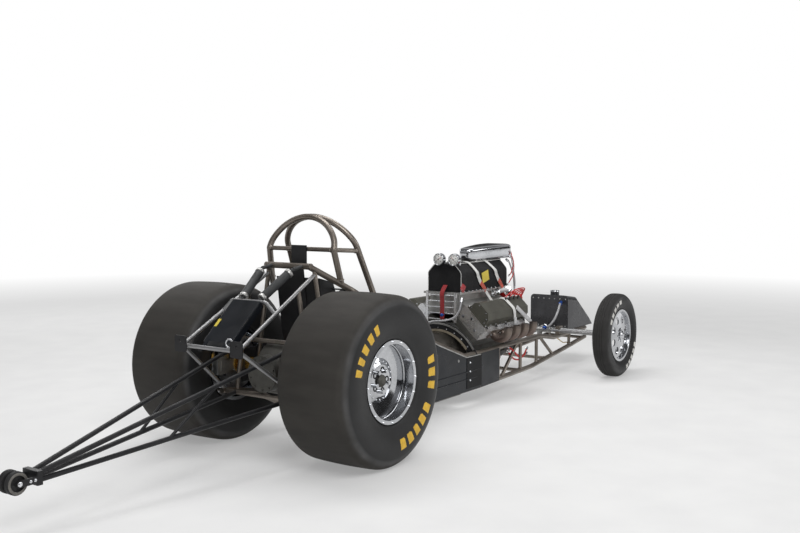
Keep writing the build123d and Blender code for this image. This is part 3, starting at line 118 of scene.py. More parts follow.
# %% A short way to add and join shader nodes
class Shading:
    """One material's nodes, or the world's, with a method for each kind this scene needs."""

    def __init__(self, name, world=None):
        self.owner = world or bpy.data.materials.new(name)
        self.owner.use_nodes = True
        self.nodes, self.links = self.owner.node_tree.nodes, self.owner.node_tree.links
        self.shader = self.nodes["Background" if world else "Principled BSDF"]
        self.coordinates = self.nodes.new("ShaderNodeTexCoord").outputs["Generated" if world else "Object"]

    def add(self, kind, **settings):
        node = self.nodes.new(kind)
        for key, value in settings.items():
            setattr(node, key, value)
        return node

    def give(self, socket, value):
        """Set a socket's number or colour, or join another node's output to it."""
        if isinstance(value, tuple):
            socket.default_value = (*value, 1)
        elif isinstance(value, (int, float)):
            socket.default_value = value
        elif value is not None:
            self.links.new(value, socket)

    def feed(self, values):
        """Give the shader its inputs, and hand back the finished material."""
        for key, value in values.items():
            self.give(self.shader.inputs[key], value)
        return self.owner

    def stretched(self, scale):
        """Object coordinates through a Mapping node."""
        mapping = self.add("ShaderNodeMapping")
        mapping.inputs["Scale"].default_value = scale
        self.give(mapping.inputs["Vector"], self.coordinates)
        return mapping.outputs["Vector"]

    def noise(self, scale, detail=4.0, vector=None):
        node = self.add("ShaderNodeTexNoise")
        for key, value in (("Scale", scale), ("Detail", detail), ("Vector", vector or self.coordinates)):
            self.give(node.inputs[key], value)
        return node.outputs["Fac"]

    def rings(self, radius, scale):
        """Noise that changes with the radius only."""
        node = self.add("ShaderNodeTexNoise", noise_dimensions="1D")
        self.give(node.inputs["Scale"], scale)
        self.give(node.inputs["W"], radius)
        return node.outputs["Fac"]

    def ramp(self, value, stops):
        node = self.add("ShaderNodeValToRGB")
        elements = node.color_ramp.elements
        while len(elements) < len(stops):
            elements.new(0.5)
        for element, (position, colour) in zip(elements, stops):
            element.position, element.color = position, (*colour, 1)
        self.give(node.inputs["Fac"], value)
        return node.outputs["Color"]

    def spread(self, value, low, high, start=0.3, end=0.7):
        node = self.add("ShaderNodeMapRange")
        keys = ("Value", "From Min", "From Max", "To Min", "To Max")
        for key, item in zip(keys, (value, start, end, low, high)):
            self.give(node.inputs[key], item)
        return node.outputs["Result"]

    def maths(self, operation, first, second):
        node = self.add("ShaderNodeMath", operation=operation)
        self.give(node.inputs[0], first)
        self.give(node.inputs[1], second)
        return node.outputs["Value"]

    def vector_maths(self, operation, first, second=None):
        node = self.add("ShaderNodeVectorMath", operation=operation)
        self.give(node.inputs[0], first)
        if second is not None:
            node.inputs[1].default_value = second
        return node.outputs["Value" if operation == "LENGTH" else "Vector"]

    def axle_distance(self, centre):
        """The distance to an axle line that runs across the car."""
        moved = self.vector_maths("SUBTRACT", self.coordinates, centre)
        return self.vector_maths("LENGTH", self.vector_maths("MULTIPLY", moved, (1, 0, 1)))

    def mixed(self, share, first, second):
        node = self.add("ShaderNodeMix", data_type="RGBA")
        for socket, value in ((node.inputs[0], share), (node.inputs[6], first), (node.inputs[7], second)):
            self.give(socket, value)
        return node.outputs[2]

    def bump(self, height, strength, distance):
        node = self.add("ShaderNodeBump")
        for key, value in (("Strength", strength), ("Distance", distance), ("Height", height)):
            self.give(node.inputs[key], value)
        return node.outputs["Normal"]


print("shading helper ready")

# %% [markdown]
# The studio is a pale floor under soft lamps. A closed room could hold the car too, but its walls
# would show in the chrome as a box. So the floor is one wide disc that turns white away from the
# car: no horizon cuts the picture, and the car's shadow stays. Polished metal needs something
# dark to mirror, so the world shows it bands of light and dark that the camera never sees.

# %% Floor, world and lamps
FLOOR_RADIUS = 60
FLOOR_FADE = (5.0, 13.0)
# columns: upward share of the direction, brightness against the even light
MIRROR_BANDS = [(0.0, 0.2), (0.05, 0.08), (0.16, 0.16), (0.24, 1.0), (0.45, 1.5), (0.66, 0.35), (1.0, 0.8)]
# columns: name, place, point it faces, width, height, power
LAMPS = [
    ("key_lamp", (-4.5, -4.5, 5.5), (-0.4, 0, 0.4), 3.5, 3.5, 230),
    ("side_lamp", (3.5, -6.5, 3.2), (0.3, 0, 0.4), 5.0, 1.6, 100),
    ("top_lamp", (0.3, 0.6, 5.2), (0, 0, 0.4), 6.0, 1.6, 165),
    ("far_lamp", (2.5, 6.5, 3.5), (0, 0, 0.4), 5.0, 2.0, 95),
]


def studio_floor():
    """A wide pale disc that fades to white away from the car."""
    mesh = bpy.data.meshes.new("studio_floor")
    disc = bmesh.new()
    bmesh.ops.create_circle(disc, cap_ends=True, segments=96, radius=FLOOR_RADIUS)
    disc.to_mesh(mesh)
    disc.free()
    look = Shading("pale_floor")
    pale = look.ramp(look.noise(3.0, 8.0), [(0.3, (0.72, 0.72, 0.72)), (0.7, (0.78, 0.78, 0.775))])
    mesh.materials.append(look.feed({"Roughness": 0.9, "Base Color": pale}))
    fade = look.spread(look.vector_maths("LENGTH", look.coordinates), 0.3, 1.0, *FLOOR_FADE)
    paths = look.add("ShaderNodeLightPath").outputs
    seen = look.maths("MAXIMUM", paths["Is Camera Ray"], paths["Is Glossy Ray"])
    seen = look.maths("MAXIMUM", seen, paths["Is Transmission Ray"])
    white = look.add("ShaderNodeEmission")
    look.give(white.inputs["Color"], (1, 1, 1))
    mix = look.add("ShaderNodeMixShader")
    for socket, value in zip(mix.inputs, (look.maths("MULTIPLY", fade, seen), look.shader.outputs["BSDF"],
                                          white.outputs["Emission"])):
        look.give(socket, value)
    look.give(look.nodes["Material Output"].inputs["Surface"], mix.outputs["Shader"])
    return linked("studio_floor", mesh)


def studio_world(light_level):
    """White where it is seen, a dimmer even light on the car, and bands for metal to mirror."""
    world = bpy.data.worlds.new("studio_world")
    bpy.context.scene.world = world
    look = Shading("studio_world", world)
    paths = look.add("ShaderNodeLightPath").outputs
    seen = look.maths("MAXIMUM", paths["Is Camera Ray"], paths["Is Transmission Ray"])
    split = look.add("ShaderNodeSeparateXYZ")
    look.give(split.inputs["Vector"], look.coordinates)
    tones = [(height, (tone, tone, tone * 1.02)) for height, tone in MIRROR_BANDS]
    bands = look.ramp(split.outputs["Z"], tones)
    look.feed({"Color": look.mixed(paths["Is Glossy Ray"], (1, 1, 1), bands),
               "Strength": look.spread(seen, light_level, 1.0, 0.0, 1.0)})


studio_floor()
studio_world(0.3)
for name, where, aim, width, height, power in LAMPS:
    lamp_data = bpy.data.lights.new(name, "AREA")
    lamp_data.shape = "RECTANGLE"
    lamp_data.size, lamp_data.size_y, lamp_data.energy = width, height, power
    lamp = linked(name, lamp_data)
    lamp.location = where
    lamp.rotation_euler = (Vector(aim) - Vector(where)).to_track_quat("-Z", "Y").to_euler()
print(len(LAMPS), "lamps")

# %% [markdown]
# ## Finishes
# Bare metal on a race car is never one grey: it carries heat stain, handling marks and a fine
# grain. One helper makes that family of finishes. A large noise moves the colour between a light
# and a dark tone, a second one moves the roughness, and a fine one gives the bump. Each finish
# is then one row of a table. Object coordinates hold the pattern still on a part when it turns.

# %% One helper for metal, paint, rubber and castings
def worn_finish(name, light, dark, shine, metal, patch, grain=180.0, relief=0.0002, stretch=(1, 1, 1),
                coat=0.0):
    """A finish whose tone, shine and surface vary over the piece."""
    look = Shading(name)
    vector = look.stretched(stretch)
    patches, fine = look.noise(patch, 6.0, vector), look.noise(grain, 3.0, vector)
    blend = look.maths("ADD", look.maths("MULTIPLY", patches, 0.75), look.maths("MULTIPLY", fine, 0.25))
    return look.feed({
        "Base Color": look.ramp(blend, [(0.34, dark), (0.62, light)]),
        "Roughness": look.spread(look.noise(patch * 2.7, 5.0, vector), *shine),
        "Normal": look.bump(fine, 0.5, relief),
        "Metallic": metal, "Coat Weight": coat, "Coat Roughness": 0.08,
    })


# columns: light tone, dark tone, range of roughness, metal, patch scale, grain scale, relief, stretch, coat
WORN = {
    "tube_steel": ((0.30, 0.265, 0.23), (0.15, 0.13, 0.112), (0.30, 0.48), 0.85, 5.0, 120.0),
    "plated_tube": ((0.36, 0.36, 0.365), (0.29, 0.29, 0.29), (0.36, 0.48), 0.9, 5.0, 160.0, 0.0001),
    "black_powder": ((0.022, 0.022, 0.024), (0.012, 0.012, 0.013), (0.32, 0.5), 0.0, 9.0, 320.0, 0.0004),
    "black_gloss": ((0.009, 0.011, 0.015), (0.005, 0.006, 0.008), (0.26, 0.4), 0.0, 4.0, 60.0, 0.0002),
    "plate_black": ((0.005, 0.005, 0.006), (0.003, 0.003, 0.0035), (0.24, 0.36), 0.0, 4.0, 60.0, 0.0001),
    "polished_metal": ((0.60, 0.61, 0.63), (0.36, 0.37, 0.385), (0.06, 0.16), 1.0, 3.0, 90.0, 0.00005),
    "bright_chrome": ((0.72, 0.73, 0.75), (0.5, 0.51, 0.53), (0.04, 0.1), 1.0, 6.0, 60.0, 0.00003),
    "cast_metal": ((0.50, 0.50, 0.49), (0.33, 0.325, 0.31), (0.36, 0.55), 0.9, 8.0, 260.0, 0.0006),
    "sheet_metal": ((0.46, 0.46, 0.46), (0.36, 0.36, 0.355), (0.4, 0.54), 0.9, 4.0, 140.0, 0.0001, (1, 6, 6)),
    "head_metal": ((0.76, 0.78, 0.81), (0.5, 0.46, 0.42), (0.2, 0.36), 0.75, 4.0, 110.0, 0.0001),
    "grey_iron": ((0.115, 0.112, 0.10), (0.06, 0.058, 0.052), (0.5, 0.7), 0.35, 9.0, 220.0, 0.0007),
    "cover_magnesium": ((0.125, 0.122, 0.10), (0.08, 0.078, 0.064), (0.36, 0.52), 0.55, 6.0, 260.0, 0.0005),
    "can_steel": ((0.105, 0.097, 0.085), (0.06, 0.055, 0.048), (0.26, 0.45), 0.7, 5.0, 160.0, 0.0003),
    "gold_anodised": ((0.72, 0.42, 0.09), (0.5, 0.28, 0.06), (0.2, 0.35), 0.9, 7.0),
    "red_gloss": ((0.5, 0.02, 0.015), (0.36, 0.012, 0.01), (0.2, 0.35), 0.0, 8.0, 90.0, 0.0002, (1, 1, 1),
                  0.4),
    "blue_anodised": ((0.03, 0.12, 0.5), (0.02, 0.07, 0.33), (0.2, 0.3), 0.8, 20.0),
    "wrap_black": ((0.04, 0.042, 0.044), (0.024, 0.025, 0.026), (0.55, 0.7), 0.0, 10.0, 300.0, 0.0006),
    "tank_metal": ((0.09, 0.09, 0.095), (0.05, 0.05, 0.054), (0.22, 0.36), 0.6, 4.0, 120.0, 0.0002),
    "belt_rubber": ((0.03, 0.03, 0.031), (0.018, 0.018, 0.018), (0.55, 0.75), 0.0, 14.0, 200.0, 0.0004),
    "weld_metal": ((0.46, 0.42, 0.38), (0.2, 0.17, 0.15), (0.25, 0.4), 0.9, 60.0, 300.0, 0.0004),
    "edge_silver": ((0.55, 0.55, 0.54), (0.36, 0.355, 0.34), (0.3, 0.5), 0.85, 14.0, 200.0, 0.0003),
    "tan_band": ((0.42, 0.37, 0.28), (0.28, 0.24, 0.18), (0.45, 0.6), 0.4, 18.0, 160.0, 0.0004),
    "yellow_mark": ((0.80, 0.50, 0.045), (0.62, 0.37, 0.03), (0.5, 0.65), 0.0, 30.0, 300.0, 0.0003),
    "white_mark": ((0.75, 0.74, 0.70), (0.55, 0.54, 0.51), (0.5, 0.65), 0.0, 30.0, 300.0, 0.0003),
    "red_silicone": ((0.62, 0.022, 0.02), (0.42, 0.015, 0.014), (0.35, 0.5), 0.0, 30.0, 300.0, 0.0002),
    "black_hose": ((0.03, 0.03, 0.031), (0.016, 0.016, 0.016), (0.4, 0.6), 0.0, 20.0, 300.0, 0.0003),
    "dial_white": ((0.78, 0.78, 0.76), (0.7, 0.7, 0.68), (0.3, 0.4), 0.0, 10.0, 50.0, 0.00002),
    "tick_black": ((0.02, 0.02, 0.02), (0.014, 0.014, 0.014), (0.4, 0.5), 0.0, 20.0),
    "brass": ((0.66, 0.46, 0.16), (0.45, 0.30, 0.09), (0.2, 0.35), 0.95, 12.0),
    # painted shade: a near-black finish for the insides of the nut sockets and the roller's holes
    "painted_shade_dark": ((0.02, 0.02, 0.022), (0.012, 0.012, 0.013), (0.4, 0.6), 0.2, 20.0),
    "roller_grey": ((0.17, 0.16, 0.145), (0.09, 0.086, 0.08), (0.5, 0.7), 0.0, 24.0),
}
finishes = {name: worn_finish(name, *row) for name, row in WORN.items()}
# black surfaces throw back less of the white studio than the default would
SPECULAR_LEVELS = {"black_powder": 0.28, "black_gloss": 0.28, "belt_rubber": 0.28, "plate_black": 0.12}
for name, level in SPECULAR_LEVELS.items():
    finishes[name].node_tree.nodes["Principled BSDF"].inputs["Specular IOR Level"].default_value = level
print(len(finishes), "finishes so far")

# %% [markdown]
# Header pipes and brake discs need more than mottling. Exhaust heat turns bare steel straw, then
# brown and blue, strongest near the port. The pipes' height stands in for the distance from the
# port, because they curve upwards. A brake disc is turned, so its scratches are rings about the
# axle, made from the distance to the axle line. Cloth is two crossed waves with a slow fade.

# %% Heat-stained pipes, turned discs and cloth
# columns: share of the pipe's height, colour
HEAT_STAIN = [
    (0.0, (0.30, 0.22, 0.15)), (0.25, (0.20, 0.14, 0.11)), (0.5, (0.16, 0.12, 0.105)),
    (0.8, (0.20, 0.165, 0.14)), (1.0, (0.12, 0.10, 0.09)),
]


def heat_stained(name):
    look = Shading(name)
    split = look.add("ShaderNodeSeparateXYZ")
    look.give(split.inputs["Vector"], look.coordinates)
    wander = look.maths("MULTIPLY", look.noise(22.0, 5.0), 0.07)
    height = look.spread(look.maths("ADD", split.outputs["Z"], wander), 0, 1, 0.38, 0.55)
    return look.feed({
        "Base Color": look.ramp(height, HEAT_STAIN),
        "Roughness": look.spread(look.noise(30.0), 0.34, 0.55),
        "Normal": look.bump(look.noise(160.0, 3.0), 0.5, 0.0002),
        "Metallic": 0.75,
    })


def turned_steel(name, centre):
    look = Shading(name)
    rings = look.rings(look.axle_distance(centre), 900.0)
    return look.feed({
        "Base Color": look.ramp(rings, [(0.35, (0.25, 0.25, 0.26)), (0.65, (0.5, 0.5, 0.51))]),
        "Normal": look.bump(rings, 0.6, 0.0003),
        "Metallic": 1.0, "Roughness": 0.3,
    })


def woven(name, light, dark, scale, rough=0.85, relief=0.0006, sheen=0.3, level=0.5):
    look = Shading(name)
    bands = []
    for direction in ("X", "Z"):
        wave = look.add("ShaderNodeTexWave", bands_direction=direction)
        for key, value in (("Scale", scale), ("Distortion", 0.6), ("Vector", look.coordinates)):
            look.give(wave.inputs[key], value)
        bands.append(wave.outputs["Fac"])
    weave = look.maths("MULTIPLY", *bands)
    faded = look.ramp(look.noise(7.0, 6.0), [(0.32, dark), (0.68, light)])
    thread = tuple(min(1, c * 1.5 + 0.004) for c in light)
    return look.feed({
        "Base Color": look.mixed(look.maths("MULTIPLY", weave, 0.35), faded, thread),
        "Normal": look.bump(look.maths("ADD", weave, look.noise(60.0)), 0.6, relief),
        "Roughness": rough, "Sheen Weight": sheen, "Specular IOR Level": level,
    })


# columns: light tone, dark tone, weave scale, roughness, relief, sheen, specular level
WOVEN = {
    "bag_cloth": ((0.011, 0.011, 0.012), (0.005, 0.005, 0.006), 160.0, 0.8, 0.0004, 0.05, 0.25),
    "white_webbing": ((0.72, 0.72, 0.70), (0.5, 0.5, 0.48), 130.0),
    "silver_sleeve": ((0.62, 0.62, 0.63), (0.4, 0.4, 0.41), 90.0, 0.45, 0.0015),
    "red_webbing": ((0.36, 0.015, 0.02), (0.2, 0.01, 0.012), 120.0),
    "orange_tag": ((0.62, 0.075, 0.03), (0.42, 0.05, 0.02), 140.0),
    "yellow_tag": ((0.78, 0.62, 0.05), (0.6, 0.45, 0.03), 120.0),
    "braided_steel": ((0.5, 0.5, 0.51), (0.28, 0.28, 0.29), 240.0, 0.35, 0.001, 0.0),
}
finishes.update({name: woven(name, *row) for name, row in WOVEN.items()})
finishes.update(header_steel=heat_stained("header_steel"), disc_steel=turned_steel("disc_steel", REAR_AXLE))
print(len(finishes), "finishes with pipes, discs and cloth")

# %% [markdown]
# Each CAD node keeps its shape and gets its finish in its material slot. That could be a line for
# each node, but a table of finishes and nodes says it all in one place. The print names the nodes
# that aren't in it: the tyres and the cloth cover, which get new shapes further on.

# %% Dress the CAD nodes
NODE_FINISHES = {
    "tube_steel": "axle_clamps cage_bars cage_hoops column_bush coupler frame_braces frame_crossmembers"
                  " frame_lower_rails frame_upper_rails knuckle_left knuckle_right steering_shaft",
    "plated_tube": "front_axle tail_frame tie_rod",
    "black_powder": "axle_plates body_mounts head_plate cowl_arch wheelie_bars wheelie_struts wheelie_fork"
                    " steering_wheel seat",
    "wrap_black": "cage_struts",
    "black_gloss": "side_panels tail_deck",
    "polished_metal": "injector_hat rear_wheel_left rear_wheel_right front_wheel_left front_wheel_right",
    "bright_chrome": "gauges",
    "cast_metal": "blower_case gearbox intake_manifold rear_calipers steering_rack",
    "head_metal": "cylinder_heads manifold_ladder drive_pulleys oil_pan",
    "sheet_metal": "cockpit_tin motor_plates",
    "grey_iron": "engine_block differential",
    "cover_magnesium": "valve_covers",
    "can_steel": "bellhousing",
    "gold_anodised": "rear_axle_housing",
    "red_gloss": "magneto",
    "tank_metal": "fuel_tank",
    "belt_rubber": "drive_belt wheelie_wheels",
    "header_steel": "headers",
    "disc_steel": "rear_discs",
}
for material, nodes in NODE_FINISHES.items():
    for node in nodes.split():
        cad[node].data.materials.clear()
        cad[node].data.materials.append(finishes[material])
dressed = {node for nodes in NODE_FINISHES.values() for node in nodes.split()}
print("nodes that get a new shape:", sorted(set(cad) - dressed))

# %% [markdown]
# ## Small helpers for new pieces
# A lathe turns a profile about an axle line, which is how tyres and wheels are really shaped. A
# hose is a round section carried along a smooth line. The Spin tool and curve objects could make
# them too. Here all of them are rings of points with one skin over them, so that they are plain
# meshes at once, already in the car's own place, and a piece can ride on its CAD body.

# %% Skin, lathe, hose and ribbon
HOSE_SIDES = 10


def finish_piece(obj, body="chassis", smooth=True):
    """Shade a new piece smooth and let it ride on its body."""
    if smooth:
        for face in obj.data.polygons:
            face.use_smooth = True
    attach(obj, body)
    return obj


def plain_mesh(name, verts, faces):
    mesh = bpy.data.meshes.new(name)
    mesh.from_pydata([tuple(point) for point in verts], [], faces)
    return mesh


def mesh_piece(name, verts, faces, material):
    """A new object from points and faces, with its normals turned outwards."""
    mesh = plain_mesh(name, verts, faces)
    shell = bmesh.new()
    shell.from_mesh(mesh)
    bmesh.ops.remove_doubles(shell, verts=shell.verts, dist=1e-6)
    bmesh.ops.recalc_face_normals(shell, faces=shell.faces)
    shell.to_mesh(mesh)
    shell.free()
    mesh.materials.append(finishes[material])
    return linked(name, mesh)


def skin(rings, count, loop=False, base=0):
    """Faces over rings of count points: a closed loop of rings, or a row with a cap at each end."""
    faces = []
    for ring in range(rings if loop else rings - 1):
        here, there = base + ring * count, base + (ring + 1) % rings * count
        for i in range(count):
            j = (i + 1) % count
            faces.append((here + i, here + j, there + j, there + i))
    if not loop:
        faces += [tuple(range(base + ring * count, base + (ring + 1) * count)) for ring in (0, rings - 1)]
    return faces


def lathe(name, profile, centre, side, turns, material):
    """Spin a closed profile of (radius, offset) in millimetres about the axle line through centre."""
    verts = []
    for turn in range(turns):
        angle = 2 * math.pi * turn / turns
        verts += [centre + Vector((radius * math.cos(angle), side * offset, radius * math.sin(angle))) * MM
                  for radius, offset in profile]
    return mesh_piece(name, verts, skin(turns, len(profile), loop=True), material)


def turned(name, profile, point, facing, turns, material, smooth=True):
    """A lathed piece of the chassis that faces along a direction."""
    piece = lathe(name, profile, Vector((0, 0, 0)), 1, turns, material)
    turn = Vector((0, 1, 0)).rotation_difference(Vector(facing).normalized()).to_matrix().to_4x4()
    piece.data.transform(Matrix.Translation(point) @ turn)
    return finish_piece(piece, smooth=smooth)


def smooth_path(points, steps):
    """Points along a smooth line through the given ones."""
    ends = [points[0] * 2 - points[1]] + points + [points[-1] * 2 - points[-2]]
    line = []
    for before, start, end, after in zip(ends, ends[1:], ends[2:], ends[3:]):
        for i in range(steps):
            t = i / steps
            bend, twist = 2 * before - 5 * start + 4 * end - after, 3 * start - before - 3 * end + after
            line.append(0.5 * (2 * start + (end - before) * t + bend * t ** 2 + twist * t ** 3))
    return line + [points[-1]]


def heading(line, i):
    """The direction of a line of points at one of them."""
    return (line[min(i + 1, len(line) - 1)] - line[max(i - 1, 0)]).normalized()


def squared(across, along):
    """The part of across that stands square to along."""
    return (across - along * across.dot(along)).normalized()


def hose(name, points, radius, material, steps=8):
    """A round hose or lead along a smooth line, closed at both ends."""
    line = smooth_path(points, steps)
    verts = []
    across = Vector((0.3, 0.2, 1)).cross(line[1] - line[0]).normalized()
    for i, point in enumerate(line):
        along = heading(line, i)
        across = squared(across, along)
        other = along.cross(across)
        for k in range(HOSE_SIDES):
            turn = 2 * math.pi * k / HOSE_SIDES
            verts.append(point + (across * math.cos(turn) + other * math.sin(turn)) * radius * MM)
    return finish_piece(mesh_piece(name, verts, skin(len(line), HOSE_SIDES), material))


def ribbon(name, rows, width, thickness, material, steps=8):
    """A flat strap along a smooth line. A row is a point and the way the strap's width runs there."""
    line = smooth_path([row[0] for row in rows], steps)
    acrosses = smooth_path([row[1].normalized() for row in rows], steps)
    verts = []
    for i, (point, across) in enumerate(zip(line, acrosses)):
        along = heading(line, i)
        across = squared(across, along) * width / 2 * MM
        lift = along.cross(across).normalized() * thickness / 2 * MM
        verts += [point - across - lift, point + across - lift, point + across + lift, point - across + lift]
    return finish_piece(mesh_piece(name, verts, skin(len(line), 4), material), smooth=False)


print("helpers ready")

# %% [markdown]
# Fasteners repeat everywhere on a car like this. Copies of a modelled bolt would mean hundreds of
# objects, so one Geometry Nodes tree makes them all. A mesh of bare points carries the facing of
# each fastener as an attribute. The tree puts a washer and a hexagon head on each point, turns it
# to its facing, realizes the instances and sets the finish. The result becomes one plain mesh for
# each group.

# %% The fastener tree
# columns: top radius, bottom radius, depth and rise of the middle, each as a share of the head's size,
# and the sides, or 0 for the tree's own input
FASTENER_CONES = ((1.35, 1.4, 0.3, 0.15, 16), (1.0, 1.0, 0.75, 0.55, 0), (0.8, 1.0, 0.15, 1.0, 0))
FASTENER_INPUTS = {"Geometry": "Geometry", "Head Radius": "Float", "Head Height": "Float", "Sides": "Int",
                   "Finish": "Material"}


def build_fastener_tree():
    tree = bpy.data.node_groups.new("fasteners", "GeometryNodeTree")
    for name, kind in FASTENER_INPUTS.items():
        tree.interface.new_socket(name=name, in_out="INPUT", socket_type=f"NodeSocket{kind}")
    tree.interface.new_socket(name="Geometry", in_out="OUTPUT", socket_type="NodeSocketGeometry")

    def added(kind, **sources):
        """A new node whose named inputs are joined to other nodes' outputs."""
        node = tree.nodes.new(kind)
        for key, source in sources.items():
            tree.links.new(source, node.inputs[key.replace("_", " ")])
        return node

    def scaled(source, factor):
        node = tree.nodes.new("ShaderNodeMath")
        node.operation = "MULTIPLY"
        tree.links.new(source, node.inputs[0])
        node.inputs[1].default_value = factor
        return node.outputs[0]

    start, join = added("NodeGroupInput").outputs, added("GeometryNodeJoinGeometry")
    radius, height = start["Head Radius"], start["Head Height"]
    for top, bottom, depth, rise, sides in FASTENER_CONES:
        cone = added("GeometryNodeMeshCone", Radius_Top=scaled(radius, top),
                     Radius_Bottom=scaled(radius, bottom), Depth=scaled(height, depth))
        if sides:
            cone.inputs["Vertices"].default_value = sides
        else:
            tree.links.new(start["Sides"], cone.inputs["Vertices"])
        lift = added("ShaderNodeCombineXYZ", Z=scaled(height, rise - depth / 2))
        move = added("GeometryNodeTransform", Geometry=cone.outputs["Mesh"],
                     Translation=lift.outputs["Vector"])
        tree.links.new(move.outputs["Geometry"], join.inputs["Geometry"])
    facing = added("GeometryNodeInputNamedAttribute")
    facing.data_type = "FLOAT_VECTOR"
    facing.inputs["Name"].default_value = "facing"
    turn = added("FunctionNodeAlignRotationToVector", Vector=facing.outputs["Attribute"])
    turn.axis = "Z"
    instances = added("GeometryNodeInstanceOnPoints", Points=start["Geometry"],
                      Instance=join.outputs["Geometry"], Rotation=turn.outputs["Rotation"])
    realize = added("GeometryNodeRealizeInstances", Geometry=instances.outputs["Instances"])
    paint = added("GeometryNodeSetMaterial", Geometry=realize.outputs["Geometry"], Material=start["Finish"])
    added("NodeGroupOutput", Geometry=paint.outputs["Geometry"])
    return tree


fastener_tree = build_fastener_tree()


def evaluated_mesh(obj):
    """The plain mesh that an object shows, with its modifiers applied."""
    bpy.context.view_layer.update()
    return bpy.data.meshes.new_from_object(obj.evaluated_get(bpy.context.evaluated_depsgraph_get()))


def made_plain(obj):
    """Swap an object's mesh for what its modifiers make of it."""
    mesh = evaluated_mesh(obj)
    obj.modifiers.clear()
    obj.data = mesh
    return obj


def fasteners(name, spots, head_radius, head_height, material, body="chassis", sides=6):
    """Fasteners at (point, facing) spots; sizes in millimetres."""
    mesh = plain_mesh(name, [point for point, _ in spots], [])
    facing = mesh.attributes.new("facing", "FLOAT_VECTOR", "POINT")
    for item, (_, direction) in zip(facing.data, spots):
        item.vector = direction
    obj = linked(name, mesh)
    modifier = obj.modifiers.new("fasteners", "NODES")
    modifier.node_group = fastener_tree
    values = {"Head Radius": head_radius * MM, "Head Height": head_height * MM, "Sides": sides,
              "Finish": finishes[material]}
    for item in fastener_tree.interface.items_tree:
        if item.in_out == "INPUT" and item.name in values:
            modifier[item.identifier] = values[item.name]
    finish_piece(made_plain(obj), body, smooth=False)


def ring_spots(centre, axis, radius, count):
    """Spots on a circle about an axis, all facing along it."""
    axis = Vector(axis).normalized()
    across = axis.cross(UP)
    across = across.normalized() if across.length > 0.1 else FORWARD
    other = axis.cross(across)
    turns = [math.radians(360 * i / count) for i in range(count)]
    ways = [across * math.cos(turn) + other * math.sin(turn) for turn in turns]
    return [(centre + way * radius * MM, axis) for way in ways]


def row_spots(start, end, count, facing):
    """Evenly spaced spots between two points."""
    return [(start.lerp(end, i / (count - 1)), Vector(facing)) for i in range(count)]


print("fastener tree has", len(fastener_tree.nodes), "nodes")

# %% [markdown]
# ## Tyres
# A drag slick is a wide soft band with no tread pattern. Its rubber is scrubbed brown-grey where
# it meets the track and blacker on the sidewall. A paler ring at its shoulder is a painted
# highlight, where the sun lights the sidewall. Two materials on two sets of faces would meet in a
# hard line. One finish that reads the distance to the axle line lets them run into each other,
# and the worn band stays on the tread, whatever way the wheel turns.

# %% Tyre rubber
SLICK_TONE, FRONT_TONE, WALL_TONE = (0.046, 0.0425, 0.038), (0.034, 0.033, 0.032), (0.014, 0.014, 0.0143)


def toned(colour, factor):
    return tuple(c * factor for c in colour)


def tyre_rubber(name, centre, tread_radius, tread_tone):
    look = Shading(name)
    radius = look.axle_distance(centre)
    wander = look.maths("MULTIPLY", look.noise(9.0, 5.0), 0.02)
    on_tread = look.spread(look.maths("ADD", radius, wander), 0, 1, tread_radius - 0.03, tread_radius + 0.004)
    scuffs = look.noise(14.0, 8.0, look.stretched((1, 0.25, 1)))
    tread = look.ramp(scuffs, [(0.32, toned(tread_tone, 0.72)), (0.66, tread_tone)])
    wall = look.ramp(look.noise(5.0, 6.0), [(0.3, WALL_TONE), (0.72, toned(WALL_TONE, 1.7))])
    # painted highlight: a paler ring round the sidewall's shoulder, where the sun lights it
    rise = look.spread(radius, 0, 1, tread_radius - 0.05, tread_radius - 0.022)
    fall = look.spread(radius, 1, 0, tread_radius - 0.02, tread_radius - 0.002)
    patches = look.spread(look.noise(7.0, 7.0), 0.15, 1)
    painted_highlight_ring = look.maths("MULTIPLY", look.maths("MULTIPLY", rise, fall), patches)
    wall = look.mixed(painted_highlight_ring, wall, toned(WALL_TONE, 9))
    height = look.maths("ADD", look.maths("MULTIPLY", look.rings(radius, 260.0), 0.5), look.noise(420.0, 3.0))
    return look.feed({
        "Base Color": look.mixed(on_tread, wall, tread),
        "Normal": look.bump(height, 0.35, 0.0007),
        "Roughness": look.mixed(on_tread, (0.46, 0.46, 0.46), (0.74, 0.74, 0.74)),
        "Specular IOR Level": 0.3,
    })


finishes.update(slick_rubber=tyre_rubber("slick_rubber", REAR_AXLE, 0.447, SLICK_TONE),
                front_rubber=tyre_rubber("front_rubber", FRONT_AXLE, 0.322, FRONT_TONE))
print(len(finishes), "finishes with the tyres")

# %% [markdown]
# The carcass is hollow and open to the rim. A torus would have neither the flat tread nor the
# square shoulder, so a lathe makes it from its outline: from the bead up one sidewall, over the
# tread and down the other one, then back inside at the thickness of the rubber.

# %% Tyre carcasses
# columns: radius, distance from the middle of the tread, from the bead outwards
SLICK_PROFILE = [
    (220, 192), (226, 200), (236, 205), (246, 206), (262, 211), (284, 218), (308, 224), (330, 227),
    (352, 228.3), (372, 227.5), (392, 225), (408, 220.5), (421, 214), (431, 206.5), (438.5, 200), (444, 193),
    (448, 186), (450.5, 180), (452, 174), (453.6, 150), (455, 110), (456.2, 60), (456.8, 20),
]
FRONT_PROFILE = [
    (206, 43), (211, 48.5), (219, 52.5), (232, 60), (250, 66.5), (268, 69.6), (284, 69.2), (298, 66),
    (309, 60.5), (317, 53.5), (322, 46), (324.5, 44), (324.5, 41), (327, 39), (328.4, 30), (329, 22),
    (326.5, 20.5), (326.5, 17.5), (329.3, 16), (329.8, 6), (327, 4.6), (327, 1.6),
]
